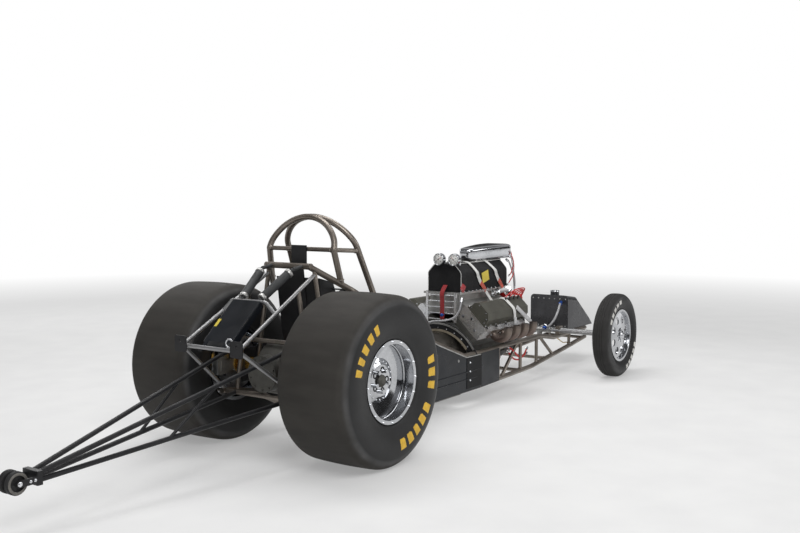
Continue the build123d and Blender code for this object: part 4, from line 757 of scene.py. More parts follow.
# columns: kind, axle, distance across, profile, wall thickness, turns, rubber, body
TYRES = [
    ("rear_tyre", REAR_AXLE, REAR_ACROSS, SLICK_PROFILE, 12, 144, "slick_rubber", "rear_wheels"),
    ("front_tyre", FRONT_AXLE, FRONT_ACROSS, FRONT_PROFILE, 9, 128, "front_rubber", "front_wheel_{}"),
]


def carcass(profile, thickness):
    """The full closed outline: the outside, mirrored, and the inside of the carcass."""
    inside = [(radius - thickness * 0.6, max(offset - thickness, 0)) for radius, offset in profile[2::3]]
    return (profile + [(radius, -offset) for radius, offset in reversed(profile)]
            + [(radius, -offset) for radius, offset in inside] + inside[::-1])


for kind, axle, across, profile, thickness, turns, rubber, body in TYRES:
    for side, word in SIDES:
        middle = beside(axle, across, side)
        tyre = lathe(f"{kind}_carcass_{word}", carcass(profile, thickness), middle, side, turns, rubber)
        finish_piece(tyre, body.format(word))
        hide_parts(f"{kind}_{word}")
        print(tyre.name, len(tyre.data.polygons), "faces")

# %% [markdown]
# The sidewalls carry raised marks. They are plain blocks here: yellow on the slicks, pale on the
# front tyres, in groups round each sidewall. The rubber's finish could paint them, but each block
# is a small patch with a real edge. It follows the sidewall's own profile, lifted by less than a
# millimetre, as a mark moulded in the rubber is.

# %% Sidewall marks
MARK_ROWS, MARK_LIFT, MARK_EDGE_LIFT = 6, 0.7, 0.05
# columns: kind, profile, axle, distance across, inner and outer radius, material, body, and the groups as
# first angle from the front of the car upwards, widths of the blocks in degrees, gap between them
MARKS = [
    ("slick", SLICK_PROFILE, REAR_AXLE, REAR_ACROSS, 306, 364, "yellow_mark", "rear_wheels",
     [(118, (6, 7, 7, 6, 6), 4.2), (-14, (7, 8, 7), 4.5), (-84, (8, 8, 7, 8, 8), 4.2)]),
    ("front", FRONT_PROFILE, FRONT_AXLE, FRONT_ACROSS, 258, 290, "white_mark", "front_wheel_{}",
     [(100, (8, 8, 8, 8, 8), 4), (-74, (8, 8, 8, 8, 8), 4)]),
]


def wall_offset(profile, radius):
    """The profile's offset at a radius on the sidewall."""
    for (r0, o0), (r1, o1) in zip(profile, profile[1:]):
        if r0 <= radius <= r1:
            return o0 + (o1 - o0) * (radius - r0) / (r1 - r0)
    return profile[-1][1]


def sidewall_marks(name, profile, middle, side, inner, outer, material, body, groups):
    """Raised patches between two radii of a sidewall."""
    verts, faces = [], []
    step = MARK_ROWS + 1
    for angle, widths, gap in groups:
        for width in widths:
            columns = max(2, round(width / 1.5))
            base = len(verts)
            for i in range(columns + 1):
                turn = math.radians(angle + width * i / columns)
                for k in range(step):
                    radius = inner + (outer - inner) * k / MARK_ROWS
                    edge = i in (0, columns) or k in (0, MARK_ROWS)
                    offset = wall_offset(profile, radius) + (MARK_EDGE_LIFT if edge else MARK_LIFT)
                    spot = (radius * math.cos(turn), side * offset, radius * math.sin(turn))
                    verts.append(middle + Vector(spot) * MM)
            for i in range(columns):
                for k in range(MARK_ROWS):
                    a = base + i * step + k
                    face = (a, a + 1, a + step + 1, a + step)
                    faces.append(face if side > 0 else face[:1] + face[:0:-1])
            angle += width + gap
    mesh = plain_mesh(name, verts, faces)
    mesh.materials.append(finishes[material])
    finish_piece(linked(name, mesh), body, smooth=False)


for side, word in SIDES:
    for kind, profile, axle, across, inner, outer, material, body, groups in MARKS:
        sidewall_marks(f"{kind}_marks_{word}", profile, beside(axle, across, side), side, inner, outer,
                       material, body.format(word), groups)
print("sidewall marks laid on")

# %% [markdown]
# ## The blower's cloth cover
# The cover is a black ballistic cloth bag, strapped down over the blower. It is lofted as one
# sheet: a U-shaped section with soft corners is carried along the blower, and the back is closed
# by a panel. Slow noise makes the cloth stand off here and there, and slanting folds run between
# the straps that hold it. The space for the hat's foot is left open in the top.

# %% The bag's section
BLOWER_LOW, BLOWER_TOP, BLOWER_HALF = 752.3, 942.3, 128
CHAMFER_IN, CHAMFER_DOWN = 56, 62
BAG_REAR, BAG_FRONT, BAG_GROW, BAG_THICKNESS = 1713, 2391, 6.6, 0.0018
BAG_POINTS, BAG_STATIONS, BACK_RINGS = 72, 84, 18
THROAT_REAR, THROAT_HALF = 1996, 76
MOST_LIFT = 2.4
# where the straps cross the bag's side, as x at its top edge and at its bottom
STRAP_LINES = ((1915, 2000), (2172, 2275))


def bag_section():
    """Points round the bag's section from the right's bottom to the left's, with soft corners."""
    half, top = BLOWER_HALF + BAG_GROW, BLOWER_TOP + BAG_GROW
    flat, edge = half - CHAMFER_IN, top - CHAMFER_DOWN
    corners = [Vector((-half, BLOWER_LOW)), Vector((-half, edge)), Vector((-flat, top))]
    corners += [Vector((-corner.x, corner.y)) for corner in reversed(corners)]
    lengths = [(b - a).length for a, b in zip(corners, corners[1:])]
    points = []
    for i in range(BAG_POINTS + 1):
        left = sum(lengths) * i / BAG_POINTS
        for a, b, length in zip(corners, corners[1:], lengths):
            if left <= length + 1e-6:
                points.append(a.lerp(b, left / length))
                break
            left -= length
    soft = list(points)
    for i in range(2, BAG_POINTS - 1):
        soft[i] = (points[i - 2] + points[i - 1] * 2 + points[i] * 3 + points[i + 1] * 2 + points[i + 2]) / 9
    return soft


def cloth_lift(x, y, z):
    """How far the cloth stands off its taut line, in millimetres."""
    slow = noise.noise(Vector((x / 120, y / 90, z / 70)))
    fine = noise.noise(Vector((x / 38 + 9, y / 45, z / 30)))
    folds = math.sin((x * 0.8 + z * 1.9) / 34 + 2.5 * slow)
    lift = 1.5 * slow + 0.6 * fine + 0.9 * folds * max(0.0, fine + 0.35)
    if y < 0:
        for top_x, low_x in STRAP_LINES:
            line = top_x + (low_x - top_x) * (BLOWER_TOP - z) / (BLOWER_TOP - BLOWER_LOW)
            lift -= 1.6 * math.exp(-((x - line) / 26) ** 2)
    return max(-MOST_LIFT, min(MOST_LIFT, lift))


section = bag_section()
girth = sum((b - a).length for a, b in zip(section, section[1:]))
print("the bag's section:", len(section), "points,", round(girth), "mm round")

# %% [markdown]
# A cloth simulation could drape the bag, but it would have to run again for every change, and this
# bag is strapped tight. So its points are placed by formula: at each station the section is pushed
# out by the cloth's lift. The sheet gets its thickness last, from a Solidify modifier.

# %% The bag
def over_throat(x, point):
    """True in the cut for the hat's foot."""
    return x > THROAT_REAR and abs(point.x) < THROAT_HALF and point.y > BLOWER_TOP


def blower_cover():
    """The bag as one closed-backed sheet with a cut for the hat."""
    ways = [heading(section, i) for i in range(len(section))]
    outward = [Vector((-along.y, along.x)).normalized() for along in ways]
    count = len(section)
    verts, faces = [], []
    for k in range(BAG_STATIONS + 1):
        x = BAG_REAR + 1.5 + (BAG_FRONT - 3 - BAG_REAR) * k / BAG_STATIONS
        for point, out in zip(section, outward):
            lifted = point + out * cloth_lift(x, point.x, point.y)
            verts.append(place(x, lifted.x, lifted.y))
    for k in range(BAG_STATIONS):
        x = BAG_REAR + (BAG_FRONT - BAG_REAR) * (k + 1) / BAG_STATIONS
        for i in range(count - 1):
            if not over_throat(x, (section[i] + section[i + 1]) / 2):
                a = k * count + i
                faces.append((a, a + count, a + count + 1, a + 1))
    # the back panel closes in towards the middle of the bottom edge
    last = 0
    for k in range(1, BACK_RINGS + 1):
        share, ring = k / BACK_RINGS, len(verts)
        for around in section:
            point = around.lerp(Vector((0, BLOWER_LOW)), share)
            bulge = 1.2 * math.sin(math.pi * share) * noise.noise(Vector((point.x / 60, point.y / 60, 4)))
            verts.append(place(BAG_REAR + 1.5 + bulge, point.x, point.y))
        faces += [(last + i, last + i + 1, ring + i + 1, ring + i) for i in range(count - 1)]
        last = ring
    bag = mesh_piece("blower_cover", verts, faces, "bag_cloth")
    shell = bag.modifiers.new("thickness", "SOLIDIFY")
    shell.thickness, shell.offset = BAG_THICKNESS, -1
    return finish_piece(made_plain(bag))


cover = blower_cover()
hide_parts("blower_bag")
# the cut: 0.593 m round the section before its corners are softened, 0.675 m along it and 0.197 m for
# the back panel, less the throat
print("cover:", len(cover.data.polygons), "faces")

# %% [markdown]
# White piping closes the bag's upper seam and its back corner. Webbing straps run over the cloth
# and hold the blower down. A flattened curve object would twist as it turns a corner, so each
# strap is a thin ribbon along a smooth line, and its rows say how the width lies at that point.

# %% Piping, straps and tags
PIPING_RADIUS, STRAP_WIDTH = 2.2, 34
CORNER_SEAM = ((81, 949), (110, 918), (134, 889), (136, 850), (136, 800), (136, 756))
STRAPS = {
    "rear_strap": [
        (1888, 0, 955.5), (1897, -80, 954.5), (1920, -139.5, 892), (1948, -141.5, 850), (1975, -142, 812),
        (2030, -143, 762), (2052, -155, 722), (2058, -190, 674), (2056, -218, 668), (2056, -251, 691),
        (2058, -291, 692), (2066, -330, 659), (2076, -361, 622), (2084, -366, 580), (2092, -362, 548),
    ],
    "front_strap": [
        (2143, -50, 955.5), (2150, -80, 954.5), (2186, -139.5, 892), (2216, -141.5, 850), (2245, -142, 812),
        (2286, -143, 768), (2300, -158, 730), (2296, -196, 690), (2290, -240, 690), (2288, -290, 692),
    ],
}
# columns: name, cloth, width, way of the width, points
TAGS = [
    ("rear_strap_tag", "orange_tag", 36, FORWARD,
     [(1980, -143.5, 806), (2000, -144, 788), (2030, -145.5, 762), (2044, -150, 742)]),
    ("front_strap_tag", "orange_tag", 36, FORWARD,
     [(2248, -143.5, 808), (2266, -144, 790), (2288, -145.5, 768), (2297, -152, 746)]),
    ("side_tag", "yellow_tag", 96, FORWARD, [(2044, -139.8, 882), (2052, -140.5, 846), (2062, -140.5, 808)]),
    ("back_tag", "red_webbing", 60, FORWARD, [(1716, -137.5, 800), (1730, -141.5, 784), (1752, -142, 766)]),
    ("ladder_strap", "red_webbing", 34, Vector((0, 1, 0)),
     [(1711, -10, 800), (1664, -12, 752), (1664, -12, 700), (1664, -12, 640), (1664, -12, 562)]),
]
# columns: start and end of each padded sleeve on the cover's outer face, as (x, out, z)
SLEEVES = [((2092, 366, 560), (2084, 372, 512)), ((2112, 367, 628), (2330, 372, 500))]

for side, word in SIDES:
    seam = [(BAG_REAR + 3 + 676 * i / 12, 81, 950.5 + 0.9 * math.sin(i * 1.9)) for i in range(13)]
    hose(f"top_piping_{word}", places(seam, side), PIPING_RADIUS, "white_webbing")
    seam = [(BAG_REAR + 1, y, z) for y, z in CORNER_SEAM]
    hose(f"corner_piping_{word}", places(seam, side), PIPING_RADIUS, "white_webbing")
    hem = [(place(BAG_REAR + 4 + 670 * i / 8, side * 139, 762), UP) for i in range(9)]
    ribbon(f"bag_hem_{word}", hem, 17, 1.6, "bag_cloth")
for name, points in STRAPS.items():
    for side, word in SIDES:
        ways = [FORWARD] * 5 + [Vector((1, 0, 0.15))] * (len(points) - 5)
        rows = list(zip(places(points, -side), ways))
        ribbon(f"{name}_{word}", rows, STRAP_WIDTH, 1.8, "white_webbing")
for name, material, width, across, points in TAGS:
    ribbon(name, [(point, across) for point in places(points)], width, 1.6, material)
for side, word in SIDES:
    for i, ends in enumerate(SLEEVES):
        start, end = places(ends, side)
        rows = [(start.lerp(end, share), Vector((1, 0, 0.3))) for share in (0, 0.35, 0.7, 1)]
        ribbon(f"heat_sleeve_{word}_{i + 1}", rows, 30, 7, "silver_sleeve")
print("straps and tags on")

# %% [markdown]
# ## The injector hat
# The hat is a polished casting: a rounded hump at the back that widens to an open mouth. A cube
# with subdivisions could be pulled into that shape by hand. A loft through rounded sections, each
# a square-ish oval, keeps its widths and heights in a table. The inside wall follows the outside
# one, so the mouth has a real lip, and three throttle plates stand behind it.

# %% Loft the hat
HAT_REAR, HAT_FRONT, HAT_LOW, HAT_HALF, HAT_TOP = 1985.5, 2474.5, 957.0, 121.8, 1066.5
# columns: distance from the back, half width, top height
HAT_STATIONS = [
    (0, 30, 1018), (4, 38, 1030), (12, 46, 1039), (28, 57, 1044.5), (60, 70, 1048.5), (120, 82, 1053),
    (190, 94, 1057), (260, 106, 1060.5), (330, 116, 1063.5), (390, 121, 1065.5), (450, HAT_HALF, HAT_TOP),
    (480, HAT_HALF, HAT_TOP), (489, HAT_HALF, HAT_TOP),
]
# columns: depth in the mouth, thickness of the wall there
MOUTH = ((0.1, 3), (5, 7), (40, 9), (84, 10), (92, 14))
# columns: x, half width
FOOT_TOP, FOOT_LOW = 958, 942.8
FOOT_STATIONS = ((2031, 60), (2034, 70), (2042, 73.5), (2398, 73.5), (2406, 70), (2409, 60))
THROTTLE_PLATE = [(0, -1.6), (32.5, -1.6), (33, 0), (32.5, 1.6), (0, 1.6)]
THROTTLE_BORE = [(33.5, -5), (37, -5), (37, 5), (33.5, 5)]


def hat_section(x, half, top, low, count=72, squareness=6.0):
    """One rounded section of the hat."""
    middle, rise = (top + low) / 2, (top - low) / 2
    ring = []
    for i in range(count):
        turn = 2 * math.pi * i / count
        ways = math.cos(turn), math.sin(turn)
        across, up = (math.copysign(abs(way) ** (2 / squareness), way) for way in ways)
        ring.append(place(x, half * across, middle + rise * up))
    return ring


def hat_part(name, sections, material):
    """A skin through rings of points, in place of the plain CAD hat."""
    verts = [point for ring in sections for point in ring]
    part = finish_piece(mesh_piece(name, verts, skin(len(sections), len(sections[0])), material))
    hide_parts("injector_hat")
    print(name, len(part.data.polygons), "faces")


outer = [hat_section(HAT_REAR + back, half, top, HAT_LOW + 14 * max(0, 1 - back / 40))
         for back, half, top in HAT_STATIONS]
inner = [hat_section(HAT_FRONT + 0.2 - depth, HAT_HALF - wall, HAT_TOP - wall, HAT_LOW + wall, squareness=7.0)
         for depth, wall in MOUTH]
hat_part("injector_hat_shell", outer + inner, "polished_metal")
foot = [hat_section(x, half, FOOT_TOP, FOOT_LOW, 40, 7.0) for x, half in FOOT_STATIONS]
hat_part("injector_hat_foot", foot, "cast_metal")
for i, y in enumerate((-70, 0, 70)):
    bore = place(2390, y, 1011)
    turned(f"throttle_plate_{i + 1}", THROTTLE_PLATE, bore, REARWARD, 40, "brass")
    turned(f"throttle_bore_{i + 1}", THROTTLE_BORE, bore, REARWARD, 40, "polished_metal")
shaft = places([(2392, y, 1011) for y in (-104, 0, 104)])
hose("throttle_shaft", shaft, 4, "bright_chrome", steps=2)
foot_spots = [row_spots(place(2050, y, FOOT_TOP), place(2395, y, FOOT_TOP), 7, UP) for y in (-68, 68)]
fasteners("hat_foot_bolts", sum(foot_spots, []), 4.5, 5, "bright_chrome")
lip_spots = [(place(2462, way * 121.5, z), Vector((0, way, 0))) for z in (975, 1010, 1045) for way in (-1, 1)]
fasteners("hat_lip_rivets", lip_spots, 3, 2.5, "bright_chrome", sides=16)

# %% [markdown]
# ## Hoses and leads
# Fuel lines run from the hat and the nozzles, plug leads fan out from the magneto to the covers,
# and a steel hose comes round the bellhousing. All of them are held at both ends. The leads end in
# boots on the covers, and the hoses end in turned fittings, each made on the lathe.

# %% Fittings and lines
# columns: radius as a share of the fitting's, distance as a share of its length
FITTING = [
    (0, 0), (0.8, 0), (1, 0.1), (1, 0.35), (0.72, 0.42), (0.72, 0.55), (1.12, 0.6), (1.12, 0.9), (0.9, 1),
    (0, 1),
]
# columns: name, finish, radius, points
LINES = [
    ("oil_line", "braided_steel", 7,
     [(1700, -150, 716), (1690, -152, 690), (1672, -150, 640), (1650, -128, 590), (1622, -70, 562),
      (1600, 40, 548), (1560, 130, 500)]),
    ("fuel_line_1", "red_silicone", 4,
     [(2452, -123, 1010), (2468, -128, 1000), (2476, -132, 950), (2472, -140, 890), (2440, -146, 850),
      (2398, -146, 826)]),
    ("fuel_line_2", "red_silicone", 4,
     [(2452, -123, 985), (2474, -132, 972), (2490, -138, 930), (2486, -144, 880), (2462, -150, 830),
      (2410, -152, 790), (2380, -150, 760)]),
    ("nozzle_line_1", "braided_steel", 5,
     [(2440, -123, 975), (2462, -134, 962), (2470, -140, 910), (2478, -150, 840), (2476, -160, 770),
      (2440, -170, 700), (2380, -170, 660)]),
    ("return_line", "braided_steel", 6,
     [(2420, -112, 952), (2448, -122, 930), (2466, -140, 860), (2474, -150, 800), (2470, -158, 700),
      (2458, -150, 600)]),
    ("low_hose_1", "red_silicone", 7,
     [(2190, -240, 330), (2230, -262, 300), (2300, -258, 262), (2390, -242, 220), (2460, -232, 210),
      (2540, -232, 232)]),
    ("low_hose_2", "red_silicone", 6,
     [(2200, -244, 300), (2240, -250, 250), (2320, -244, 210), (2420, -236, 196), (2500, -232, 226),
      (2560, -228, 270)]),
    ("brake_line", "brass", 4,
     [(3120, -150, 300), (3200, -172, 262), (3290, -186, 214), (3370, -188, 204), (3440, -184, 176)]),
    ("tank_line", "braided_steel", 9,
     [(3400, -120, 540), (3352, -128, 520), (3290, -140, 470), (3200, -150, 410), (3080, -160, 372),
      (2960, -170, 368)]),
    ("wrapped_elbow", "silver_sleeve", 15,
     [(2120, -150, 712), (2140, -190, 728), (2190, -222, 738), (2250, -226, 732), (2280, -214, 700)]),
    ("tank_outlet", "black_hose", 15,
     [(3412, 30, 320), (3380, 28, 318), (3330, 10, 318), (3200, -6, 318), (3060, -16, 316), (2780, -30, 300),
      (2600, -40, 290)]),
]


def fitting(name, point, facing, radius, length, material):
    """A turned hose end: two collars with a waist between them."""
    profile = [(radius * r, length * along) for r, along in FITTING]
    turned(name, profile, point, facing, 12, material, smooth=False)


for name, material, radius, points in LINES:
    points = places(points)
    hose(name, points, radius, material)
    end_finish = "blue_anodised" if name == "tank_line" else "bright_chrome"
    for word, point, toward in (("start", points[0], points[1]), ("end", points[-1], points[-2])):
        fitting(f"{name}_{word}", point, toward - point, radius * 1.5, radius * 4.5, end_finish)
fitting("ladder_cap", place(1640, -34, 597), REARWARD, 10, 24, "blue_anodised")
print(len(LINES), "lines")

# %% [markdown]
# Eight plug leads leave the magneto's cap in a fan. The near four come down on their cover from
# the front, and the other four cross over to the far bank. Every route could be a list of its
# own. Here its points are worked out from the lead's number, so the fan opens evenly.

# %% Plug leads
MAGNETO_TOP, MAGNETO_CAP_RADIUS = place(2410, -220, 652), 0.026
# columns: x, y, z of the first lead that crosses over, and how much higher each next one lies
CROSSING = ((2398, -180, 694, 5), (2369, -90, 664, 9), (2369, 90, 664, 9))


def lead_middle(i, side, boot):
    """The points of a lead between the magneto's cap and its boot."""
    if side < 0:
        return [place(2470 - 16 * i, -222 - 16 * i, 690 + 15 * i),
                place(2400 - 56 * i, -272 - 10 * i, 716 + 10 * i), boot + Vector((0.04, 0.004, 0.03))]
    crossing = [place(x, y, z + rise * i) for x, y, z, rise in CROSSING]
    return crossing + [place(2330 - 40 * i, 236, 716), boot + Vector((0.026, -0.006, 0.03))]


# four leads to each cover, with a boot at each end
for i in range(4):
    for side, word in SIDES:
        turn = math.radians(200 + 45 * i + (20 if side > 0 else 0))
        foot = MAGNETO_TOP + Vector((math.cos(turn), math.sin(turn), 0)) * MAGNETO_CAP_RADIUS
        boot = bank(2250 - 64 * i, 461, -36 if side < 0 else -40, side)
        lead = [foot, foot + UP * 0.022] + lead_middle(i, side, boot) + [boot + UP * 0.004]
        hose(f"plug_lead_{word}_{i + 1}", lead, 4.5, "red_silicone")
        fitting(f"lead_boot_{word}_{i + 1}", foot - UP * 0.012, UP, 7.5, 26, "red_silicone")
        fitting(f"plug_boot_{word}_{i + 1}", boot - UP * 0.006, (0.2, side * 0.2, 1), 8, 26, "black_hose")
print("leads on")

# %% [markdown]
# ## Gauge faces
# Each gauge gets a white face set into its case, a chrome bezel, a scale of ticks with plain
# numbers, and a red needle. A picture of a dial could be laid on the face, but this scene uses no
# pictures. The ticks are thin raised strips, placed by angle, so the scale can be changed in one
# line, and the numbers are text that is made a mesh before it is put in its place.

# %% Faces, ticks, numbers and needles
GAUGE_X, GAUGE_Z = 1670, 983
# columns: name, distance across, angle of the needle
GAUGES = (("boost_gauge", -99, -40), ("fuel_gauge", 24, 55))
GAUGE_RINGS = (
    ("face", [(0, 0), (37, 0), (37, 1.2), (0, 1.2)], 56, "dial_white"),
    ("bezel", [(36.5, 0), (41.6, 0), (41.9, 1), (41.2, 2.6), (38.4, 3.0), (36.8, 1.8)], 56, "bright_chrome"),
    ("hub", [(0, 0), (4.5, 0), (4.5, 3), (3.5, 3.8), (0, 4)], 24, "tick_black"),
)
SCALE_START, TICK_STEP, TICK_COUNT = -130, 6.5, 41
# columns of the turn: the text's right is the driver's right, its top is up, its front faces back
TEXT_TURN = Matrix(((0, 0, -1), (-1, 0, 0), (0, 1, 0))).to_4x4()
STRIP_FACES = ((0, 1, 2, 3), (4, 7, 6, 5), (0, 4, 5, 1), (1, 5, 6, 2), (2, 6, 7, 3), (3, 7, 4, 0))


def face_point(y, turn, radius, lift):
    """A point on a gauge's face: turn clockwise from the top as the driver sees it, lift towards them."""
    return place(GAUGE_X - lift, y - radius * math.sin(turn), GAUGE_Z + radius * math.cos(turn))


def dial_strips(name, y, strips, material):
    """Thin raised strips on a face, each (angle, inner radius, outer radius, width, lift)."""
    verts, faces = [], []
    for angle, inner, outer, width, lift in strips:
        turn = math.radians(angle)
        sideways = Vector((0, -math.cos(turn), -math.sin(turn))) * width / 2 * MM
        faces += [tuple(len(verts) + k for k in face) for face in STRIP_FACES]
        for height in (lift - 0.5, lift):
            for radius, sign in ((inner, -1), (inner, 1), (outer, 1), (outer, -1)):
                verts.append(face_point(y, turn, radius, height) + sideways * sign)
    finish_piece(mesh_piece(name, verts, faces, material), smooth=False)


def dial_number(name, words, y, angle):
    """A number on the face, as a thin mesh."""
    text = bpy.data.curves.new(name, "FONT")
    text.body, text.size, text.extrude = words, 0.0085, 0.00025
    text.align_x, text.align_y = "CENTER", "CENTER"
    number = linked(name, text)
    mesh = evaluated_mesh(number)
    bpy.data.objects.remove(number)
    mesh.materials.clear()
    mesh.materials.append(finishes["tick_black"])
    mesh.transform(Matrix.Translation(face_point(y, math.radians(angle), 22, 1.6)) @ TEXT_TURN)
    finish_piece(linked(name, mesh), smooth=False)


for name, y, needle_angle in GAUGES:
    for kind, profile, turns, material in GAUGE_RINGS:
        turned(f"{name}_{kind}", profile, place(GAUGE_X, y, GAUGE_Z), REARWARD, turns, material)
    ticks = [(SCALE_START + TICK_STEP * i, 31 if i % 5 else 28, 34.5, 0.6 if i % 5 else 1.3, 1.7)
             for i in range(TICK_COUNT)]
    dial_strips(f"{name}_ticks", y, ticks, "tick_black")
    dial_strips(f"{name}_needle", y, [(needle_angle, -8, 29, 2.2, 2.6)], "red_gloss")
    for k in range(5):
        dial_number(f"{name}_number_{k}", str(k * 20), y, SCALE_START + TICK_STEP * 10 * k)
print("gauges have faces")

# %% [markdown]
# ## Engine hardware
# Rows and rings of fasteners show how the engine is held together: the cover flanges, the header
# flanges, the bellhousing and the cowl arch. They could be placed one by one, but real ones stand
# in even rows and circles. So each row is only two end points and a count, each circle a centre
# and a radius, and the fastener tree does the rest.

# %% Bolts on the engine and the bellhousing
ARCH_CENTRE_Z, ARCH_LOW_Z = 200, 0.36
# columns: name, x, circle radius, count, head radius, head height
ARCH_RINGS = (("bolts", 1624, 339, 40, 3.6, 3.5), ("studs", 1630, 306, 28, 4.5, 5))
# columns: name, x of the face, places as (along, out), head radius, head height, sides
END_FASTENERS = (
    ("cover_end_bolts", 1706, ((388, -70), (388, 72), (446, -38), (446, 34), (418, 66)), 3.6, 3.5, 6),
    ("head_plugs", 1700, ((300, -70), (300, 60), (338, -10)), 9, 4, 8),
)


def bank_way(along, out, side):
    """A direction in one bank's own axes."""
    return (bank(0, along, out, side) - bank(0, 0, 0, side)).normalized()


def bank_row(ends, along, out, side, count):
    """Spots in a row along a bank, facing up its bores."""
    rear, front = (bank(x, along, out, side) for x in ends)
    return row_spots(rear, front, count, bank_way(1, 0, side))


for side, word in SIDES:
    cover_row = [bank_row((1716, 2296), 378.3, out, side, 9) for out in (93, -86.5)]
    fasteners(f"cover_bolts_{word}", sum(cover_row, []), 4.2, 5, "bright_chrome")
    fasteners(f"head_bolts_{word}", bank_row((1730, 2284), 368.2, 107, side, 5), 6, 6, "black_powder")
    for name, x, marks, radius, height, sides in END_FASTENERS:
        spots = [(bank(x, along, out, side), REARWARD) for along, out in marks]
        fasteners(f"{name}_{word}", spots, radius, height, "bright_chrome", sides=sides)
    flange = [(bank(1870 + 130 * i + reach, 309, 130.4, side), bank_way(0, 1, side))
              for i in range(4) for reach in (-39, 39)]
    fasteners(f"header_bolts_{word}", flange, 5, 6, "plated_tube")
bell_ring = ring_spots(place(1665.6, 0, CRANK_Z), REARWARD, 188, 18)
fasteners("bellhousing_bolts", bell_ring, 6, 7, "bright_chrome")
for name, x, circle, count, radius, height in ARCH_RINGS:
    ring = ring_spots(place(x, 0, ARCH_CENTRE_Z), REARWARD, circle, count)
    upper = [spot for spot in ring if spot[0].z > ARCH_LOW_Z]
    fasteners(f"cowl_arch_{name}", upper, radius, height, "bright_chrome")
manifold_rows = [row_spots(place(1700, y, 752), place(2310, y, 752), 12, UP) for y in (-142, 142)]
fasteners("manifold_bolts", sum(manifold_rows, []), 4.5, 5, "bright_chrome")
pulley_rings = [ring_spots(place(2468.2, 0, z), FORWARD, radius, count)
                for z, radius, count in ((CRANK_Z, 46, 8), (852, 36, 6))]
fasteners("pulley_bolts", sum(pulley_rings, []), 5.5, 6, "bright_chrome")
print("engine bolts on")

# %% [markdown]
# The arch has a bright worn edge and a tan inner band where the body's cowl rubs. The side panel
# has a silver strip along its folded top edge, a painted highlight for the light along the fold,
# and a row of round buttons and a black plate with three bolts at its front. A second material on
# the CAD sheets could colour them, but a real strip has an edge that catches the light. So the
# edges and the plate are thin strips that follow the CAD sheets.

# %% Edges, trims and plates
STRIP_LOW_Z, STRIP_STEPS = 372, 60
PANEL_Y = 309.9
PANEL_TOP = ((500, 769.2), (1140, 475), (1500, 347), (1690, 344.2))
PANEL_BUTTONS = ((540, 726), (700, 650), (860, 576), (1020, 504), (1396, 330))
# columns: name, x, height of the centre, radius, width, depth, finish
ARC_STRIPS = (
    ("cowl_arch_edge", 1623, ARCH_CENTRE_Z, 337.5, 13, 2.4, "edge_silver"),
    ("cowl_arch_band", 1626.5, ARCH_CENTRE_Z, 289, 16, 2.2, "tan_band"),
    ("bell_edge_band", 1664.6, CRANK_Z, 196, 6, 2.2, "edge_silver"),
)

for name, x, centre_z, radius, width, depth, material in ARC_STRIPS:
    start = math.asin((STRIP_LOW_Z - centre_z) / radius)
    turns = [start + (math.pi - 2 * start) * i / STRIP_STEPS for i in range(STRIP_STEPS + 1)]
    ways = [Vector((0, math.cos(turn), math.sin(turn))) for turn in turns]
    rows = [(place(x, radius * way.y, centre_z + radius * way.z), way) for way in ways]
    ribbon(name, rows, width, depth, material, steps=1)
for side, word in SIDES:
    outward = Vector((0, side, 0))
    # painted highlight: a silver strip along the panel's folded top edge
    top = [(place(x, side * (PANEL_Y + 1.2), z - 7), Vector((0.2 if x < 1500 else 0.02, 0, 1)))
           for x, z in PANEL_TOP]
    rows = [(a[0].lerp(b[0], k / 6), a[1]) for a, b in zip(top, top[1:]) for k in range(6)] + [top[-1]]
    ribbon(f"side_panel_highlight_strip_{word}", rows, 6, 1.4, "edge_silver", steps=1)
    plate = [(place(x, side * (PANEL_Y + 1.6), 229), UP) for x in (1502, 1568, 1634, 1698)]
    ribbon(f"side_panel_bracket_{word}", plate, 208, 2.4, "plate_black", steps=2)
    bolts = row_spots(place(1546, side * 312.8, 178), place(1546, side * 312.8, 300), 3, outward)
    fasteners(f"bracket_bolts_{word}", bolts, 5, 4, "bright_chrome")
    buttons = [(place(x, side * PANEL_Y, z), outward) for x, z in PANEL_BUTTONS]
    fasteners(f"panel_buttons_{word}", buttons, 6.5, 2.6, "edge_silver", sides=20)
print("edges and plates on")

# %% [markdown]
# ## Weld beads
# The frame is welded chrome-moly, and the heat leaves a bright rippled bead at each joint. A bump
# in the steel's finish could hint at it, but it couldn't find the joints. So a bead is a small
# ring of ripples round the thinner tube, square to the tube's own line. The rails' heights come
# from the same few points as the frame, so each bead finds its joint.

# %% Beads at the frame joints
LOWER_RAIL = [(-190, 330), (60, 285), (430, 115), (2600, 115), (3300, 165), (3780, 205)]
UPPER_RAIL = [(50, 1030), (250, 892), (1140, 475), (1500, 347), (2750, 335), (3060, 285), (3780, 285)]
RAIL_R, BRACE_R = 17.5, 12.7
TAPER_START, NOSE_X, COCKPIT_HALF, NOSE_HALF, SHOULDER_HALF = 1700, 3780, 290, 170, 150
BEAD_TURNS, BEAD_SIDES = 36, 6
BAY_START, BAY_RUN = 2010, 1390
UPRIGHTS = [430, 1080] + [BAY_START + share * BAY_RUN for share in (0, 0.28, 0.5, 1)]
DIAGONALS = [(1040, 470), (2060, UPRIGHTS[3] - 50), (3040, UPRIGHTS[4] + 50)]
CROSS_TUBES = [(x, LOWER_RAIL) for x in (700, 1430, UPRIGHTS[3], 2900, 3740)]
CROSS_TUBES += [(x, UPPER_RAIL) for x in (780, 3000, 3740)]


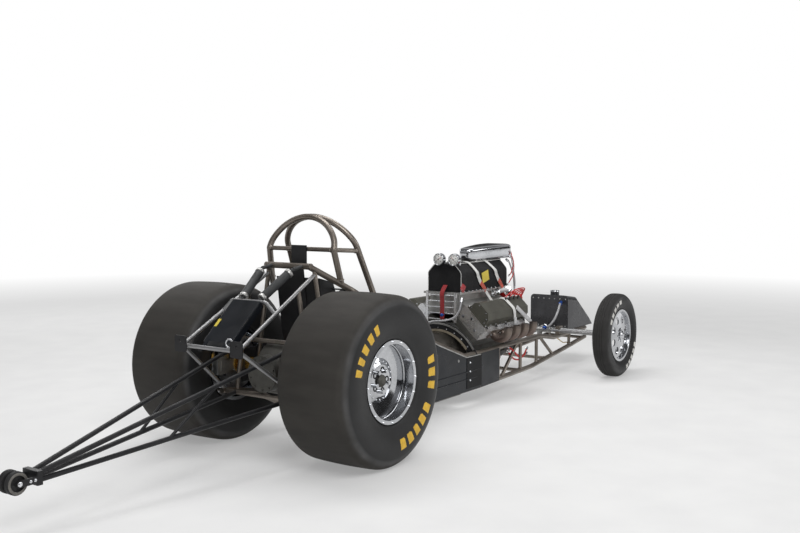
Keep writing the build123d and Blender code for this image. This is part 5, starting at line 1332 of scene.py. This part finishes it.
def rail_point(line, x, side):
    """A point on a rail's centre line."""
    for (x0, z0), (x1, z1) in zip(line, line[1:]):
        if x0 <= x <= x1:
            z = z0 + (z1 - z0) * (x - x0) / (x1 - x0)
    half = COCKPIT_HALF
    if x > TAPER_START:
        half += (x - TAPER_START) / (NOSE_X - TAPER_START) * (NOSE_HALF - COCKPIT_HALF)
    if line is UPPER_RAIL and x < 250:
        half = SHOULDER_HALF + (x - 50) / 200 * (COCKPIT_HALF - SHOULDER_HALF)
    return place(x, side * half, z)


def beads(name, spots, thickness=2.4):
    """One rippled ring of weld round a tube at each (point, direction, tube radius)."""
    verts, faces = [], []
    for point, along, tube_radius in spots:
        across = along.orthogonal().normalized()
        other = along.cross(across)
        faces += skin(BEAD_TURNS, BEAD_SIDES, loop=True, base=len(verts))
        for i in range(BEAD_TURNS):
            turn = 2 * math.pi * i / BEAD_TURNS
            out = across * math.cos(turn) + other * math.sin(turn)
            size = thickness * (1.15 if i % 2 else 0.85)
            for k in range(BEAD_SIDES):
                lean = 2 * math.pi * k / BEAD_SIDES
                reach = tube_radius + size * 0.4 + size * math.cos(lean)
                verts.append(point + (out * reach + along * size * 1.3 * math.sin(lean)) * MM)
    finish_piece(mesh_piece(name, verts, faces, "weld_metal"))


def both_ends(runs):
    """Spots near both ends of each run of brace tube: (start, end, distance of the bead from each end)."""
    spots = []
    for start, end, inset in runs:
        along = (end - start).normalized()
        spots += [(start + along * inset * MM, along, BRACE_R), (end - along * inset * MM, along, BRACE_R)]
    return spots


runs = []
for side, _ in SIDES:
    for low_x, high_x, gap in [(x, x, 1) for x in UPRIGHTS] + [(low, high, 7) for low, high in DIAGONALS]:
        runs.append((rail_point(LOWER_RAIL, low_x, side), rail_point(UPPER_RAIL, high_x, side), RAIL_R + gap))
for x, line in CROSS_TUBES:
    runs.append((rail_point(line, x, -1), rail_point(line, x, 1), RAIL_R + 0.5))
beads("frame_beads", both_ends(runs))
print(len(runs), "welded runs in the frame")

# %% [markdown]
# The cage has the same beads at the bars between its two hoops and at its feet on the rails. The
# hoops lean on each other at the crown, and one seam of weld runs along the top where they touch.
# A ring can't follow that line, so the seam is a hose whose points rise and fall by turns.

# %% Beads on the cage
CAGE_BAR_Z, CAGE_TOP_Z, BAR_INSET = 1120, 1302, 18
# columns: x of the hoop at the bar's height, half width there, x of its feet
HOOPS = ((160, 238, 204), (352, 258, 510))
CROWN_X, CROWN_R = 240.7, 256
(rear_x, rear_half, _), (front_x, front_half, _) = HOOPS

cage_runs = [(place(rear_x, -rear_half, CAGE_BAR_Z), place(rear_x, rear_half, CAGE_BAR_Z), BAR_INSET)]
feet = []
for side, _ in SIDES:
    front = place(front_x, side * front_half, CAGE_BAR_Z - 12)
    cage_runs.append((place(rear_x, side * rear_half, CAGE_BAR_Z), front, BAR_INSET))
    for x, half, foot_x in HOOPS:
        foot = rail_point(UPPER_RAIL, foot_x, side)
        along = (place(x, side * half, CAGE_BAR_Z) - foot).normalized()
        feet.append((foot + along * (RAIL_R + 9) * MM, along, RAIL_R))
beads("cage_beads", both_ends(cage_runs))
beads("cage_foot_beads", feet, 3)
crown = []
for i in range(25):
    y = -54 + 4.5 * i
    drop = CROWN_R - math.sqrt(CROWN_R ** 2 - y ** 2)
    crown.append(place(CROWN_X, y, CAGE_TOP_Z + 10.5 - drop + (0.7 if i % 2 else -0.3)))
hose("cage_crown_seam", crown, 6, "weld_metal", steps=2)
print(len(cage_runs), "welded bars and", len(feet), "feet on the cage")

# %% [markdown]
# ## Cage struts and tail deck
# The two wrapped struts end in bright collars. The tail deck carries one blank yellow tag, and a
# bright ring stands on the cross tube beside it. Cylinders and a torus could stand for them. The
# lathe helper is here already, and it gives the collars their lip and their bore at once.

# %% Strut collars, the deck's tag and ring
COLLAR = [(12, -3), (25.5, -3), (26, 1), (26, 13), (25, 15), (24.1, 15), (24.1, 1), (12, 1)]
COLLAR_INSET = 30 * MM
ROUND_BAR = [(22 + 4.5 * math.cos(k * math.pi / 5), 4.5 * math.sin(k * math.pi / 5)) for k in range(10)]
DECK_LOW, DECK_HIGH = place(-510, 0, 668), place(-292, 0, 864)

for side, word in SIDES:
    top, low = place(-40, side * 112, 1018), place(-265.6, side * 62, 857)
    run = (low - top).normalized()
    for end, spot, way in (("top", top, run), ("low", low, -run)):
        turned(f"strut_collar_{end}_{word}", COLLAR, spot + way * COLLAR_INSET, way, 32, "edge_silver")
turned("deck_ring", ROUND_BAR, place(-560, -138, 676), REARWARD, 40, "bright_chrome")
deck_run = (DECK_HIGH - DECK_LOW).normalized()
deck_up = Vector((-deck_run.z, 0, deck_run.x))
tag_middle = DECK_LOW.lerp(DECK_HIGH, 0.42) + Vector((0, 0.083, 0)) + deck_up * 2.4 * MM
tag_rows = [(tag_middle + deck_run * reach * MM, Vector((0, 1, 0))) for reach in (-26, 0, 26)]
ribbon("deck_tag", tag_rows, 20, 0.8, "yellow_tag", steps=2)
print("tail dressed")

# %% [markdown]
# ## Wheels
# Drag wheels show their fasteners: a ring of small bolts clamps the tyre's outer bead, and five
# long nuts sit in sockets round the hub, each with a dark ring of painted shade. The front wheels
# have rings of bolts and a small cap. The small rollers at the back have a paler tread ring round a
# dark web, and their lightening holes are dark discs of painted shade, with a bolt at the pin. Bolt
# holes cut in the CAD wheels would make every wheel heavier to draw, so these are separate small
# pieces. Each rides on its wheel's body and turns with it.

# %% Wheel details
# columns: name, finish, profile
REAR_RINGS = (
    ("step_ring", "polished_metal",
     [(203.6, 176), (205.4, 176), (205.4, 150), (200, 148), (199, 152), (200.5, 158), (203.6, 162)]),
    ("inner_ring", "polished_metal", [(205.4, 141), (205.4, 131), (196, 131), (193, 134), (196, 138)]),
    ("hub_cap", "grey_iron",
     [(0, 121.5), (33, 121.5), (33, 132), (30, 136), (22, 138), (20, 143), (12, 145), (0, 145.5)]),
)
FRONT_CAP = [(0, 57), (36, 57), (36, 59), (30, 61.5), (24, 62), (22, 68), (14, 71), (0, 71.5)]
NUT_SOCKET_SHADE = [(11.2, 121.6), (17.5, 121.6), (18, 123.2), (16, 124.4), (11.2, 124.4)]
NUTS, NUT_CIRCLE = 5, 57
ROLLER, ROLLER_BODY = place(-1692, 0, 222), "wheelie_wheels"
ROLLER_RING = [(34, 37.6), (46, 37.6), (45, 38.6), (35, 38.6)]

for side, word in SIDES:
    outward = Vector((0, side, 0))
    rear, front = beside(REAR_AXLE, REAR_ACROSS, side), beside(FRONT_AXLE, FRONT_ACROSS, side)
    front_body = f"front_wheel_{word}"
    # columns: name, middle, facing, circle radius, count, head radius, head height, body
    for name, middle, facing, circle, count, radius, height, body in (
        ("bead_bolts", rear + outward * 0.2002, outward, 212, 16, 4.2, 5, "rear_wheels"),
        ("centre_bolts", rear + outward * 0.117, outward, 101, 20, 3.6, 4, "rear_wheels"),
        ("front_bolts", front + outward * 0.049, outward, 50, 8, 4, 4.5, front_body),
        ("front_rim_bolts", front + outward * 0.0305, outward, 184, 16, 3.6, 4, front_body),
        ("disc_bolts", beside(REAR_AXLE, 345.5, side), -outward, 50, 8, 5, 5, "rear_wheels"),
    ):
        spots = ring_spots(middle, facing, circle, count)
        fasteners(f"{name}_{word}", spots, radius, height, "bright_chrome", body)
    for kind, material, profile in REAR_RINGS:
        ring = lathe(f"rear_{kind}_{word}", profile, rear, side, 64, material)
        finish_piece(ring, "rear_wheels")
    for i in range(NUTS):
        turn = 2 * math.pi * i / NUTS
        centre = rear + Vector((NUT_CIRCLE * math.cos(turn), 0, NUT_CIRCLE * math.sin(turn))) * MM
        # painted shade: a dark ring in each nut's socket
        socket = lathe(f"nut_socket_shade_{word}_{i + 1}", NUT_SOCKET_SHADE, centre, side, 24, "painted_shade_dark")
        finish_piece(socket, "rear_wheels")
    cap = lathe(f"front_cap_{word}", FRONT_CAP, front, side, 40, "polished_metal")
    finish_piece(cap, front_body)
    tread = lathe(f"roller_ring_{word}", ROLLER_RING, ROLLER, side, 48, "roller_grey")
    finish_piece(tread, ROLLER_BODY)
    # painted shade: the roller's lightening holes are dark discs, not open holes
    holes = ring_spots(ROLLER + outward * 0.0288, outward, 21.5, 6)
    fasteners(f"roller_hole_shades_{word}", holes, 5.5, 0.9, "painted_shade_dark", ROLLER_BODY, 16)
    fasteners(f"roller_bolt_{word}", [(ROLLER + outward * 0.0518, outward)], 8, 5, "bright_chrome")
    fork_spots = [(place(x, side * 51.8, 222), outward) for x in (-1642, -1620)]
    fasteners(f"fork_bolts_{word}", fork_spots, 5, 4, "bright_chrome")
print("wheels dressed")

# %% [markdown]
# ## Tank
# The tank has a filler cap with a turned ring and six screws, and two rows of screws across its
# back. They come from the same lathe and the same tree as the rest, because they are the same
# kinds of parts, only with other sizes.

# %% Tank cap and screws
TANK_CAP = [(30, 0), (38.5, 0), (39, 2), (39, 10), (37, 12), (24, 12), (22, 9), (0, 9), (0, 8)]
TANK_BACK = 3414.8

turned("tank_cap_ring", TANK_CAP, place(3525, 0, 609), UP, 48, "bright_chrome")
fasteners("tank_cap_screws", ring_spots(place(3525, 0, 620), UP, 31, 6), 3, 2.5, "black_powder")
back_rows = [row_spots(place(TANK_BACK, -150, z), place(TANK_BACK, 150, z), 7, REARWARD) for z in (330, 560)]
fasteners("tank_back_screws", sum(back_rows, []), 4, 3, "edge_silver", sides=16)
print("nose dressed")
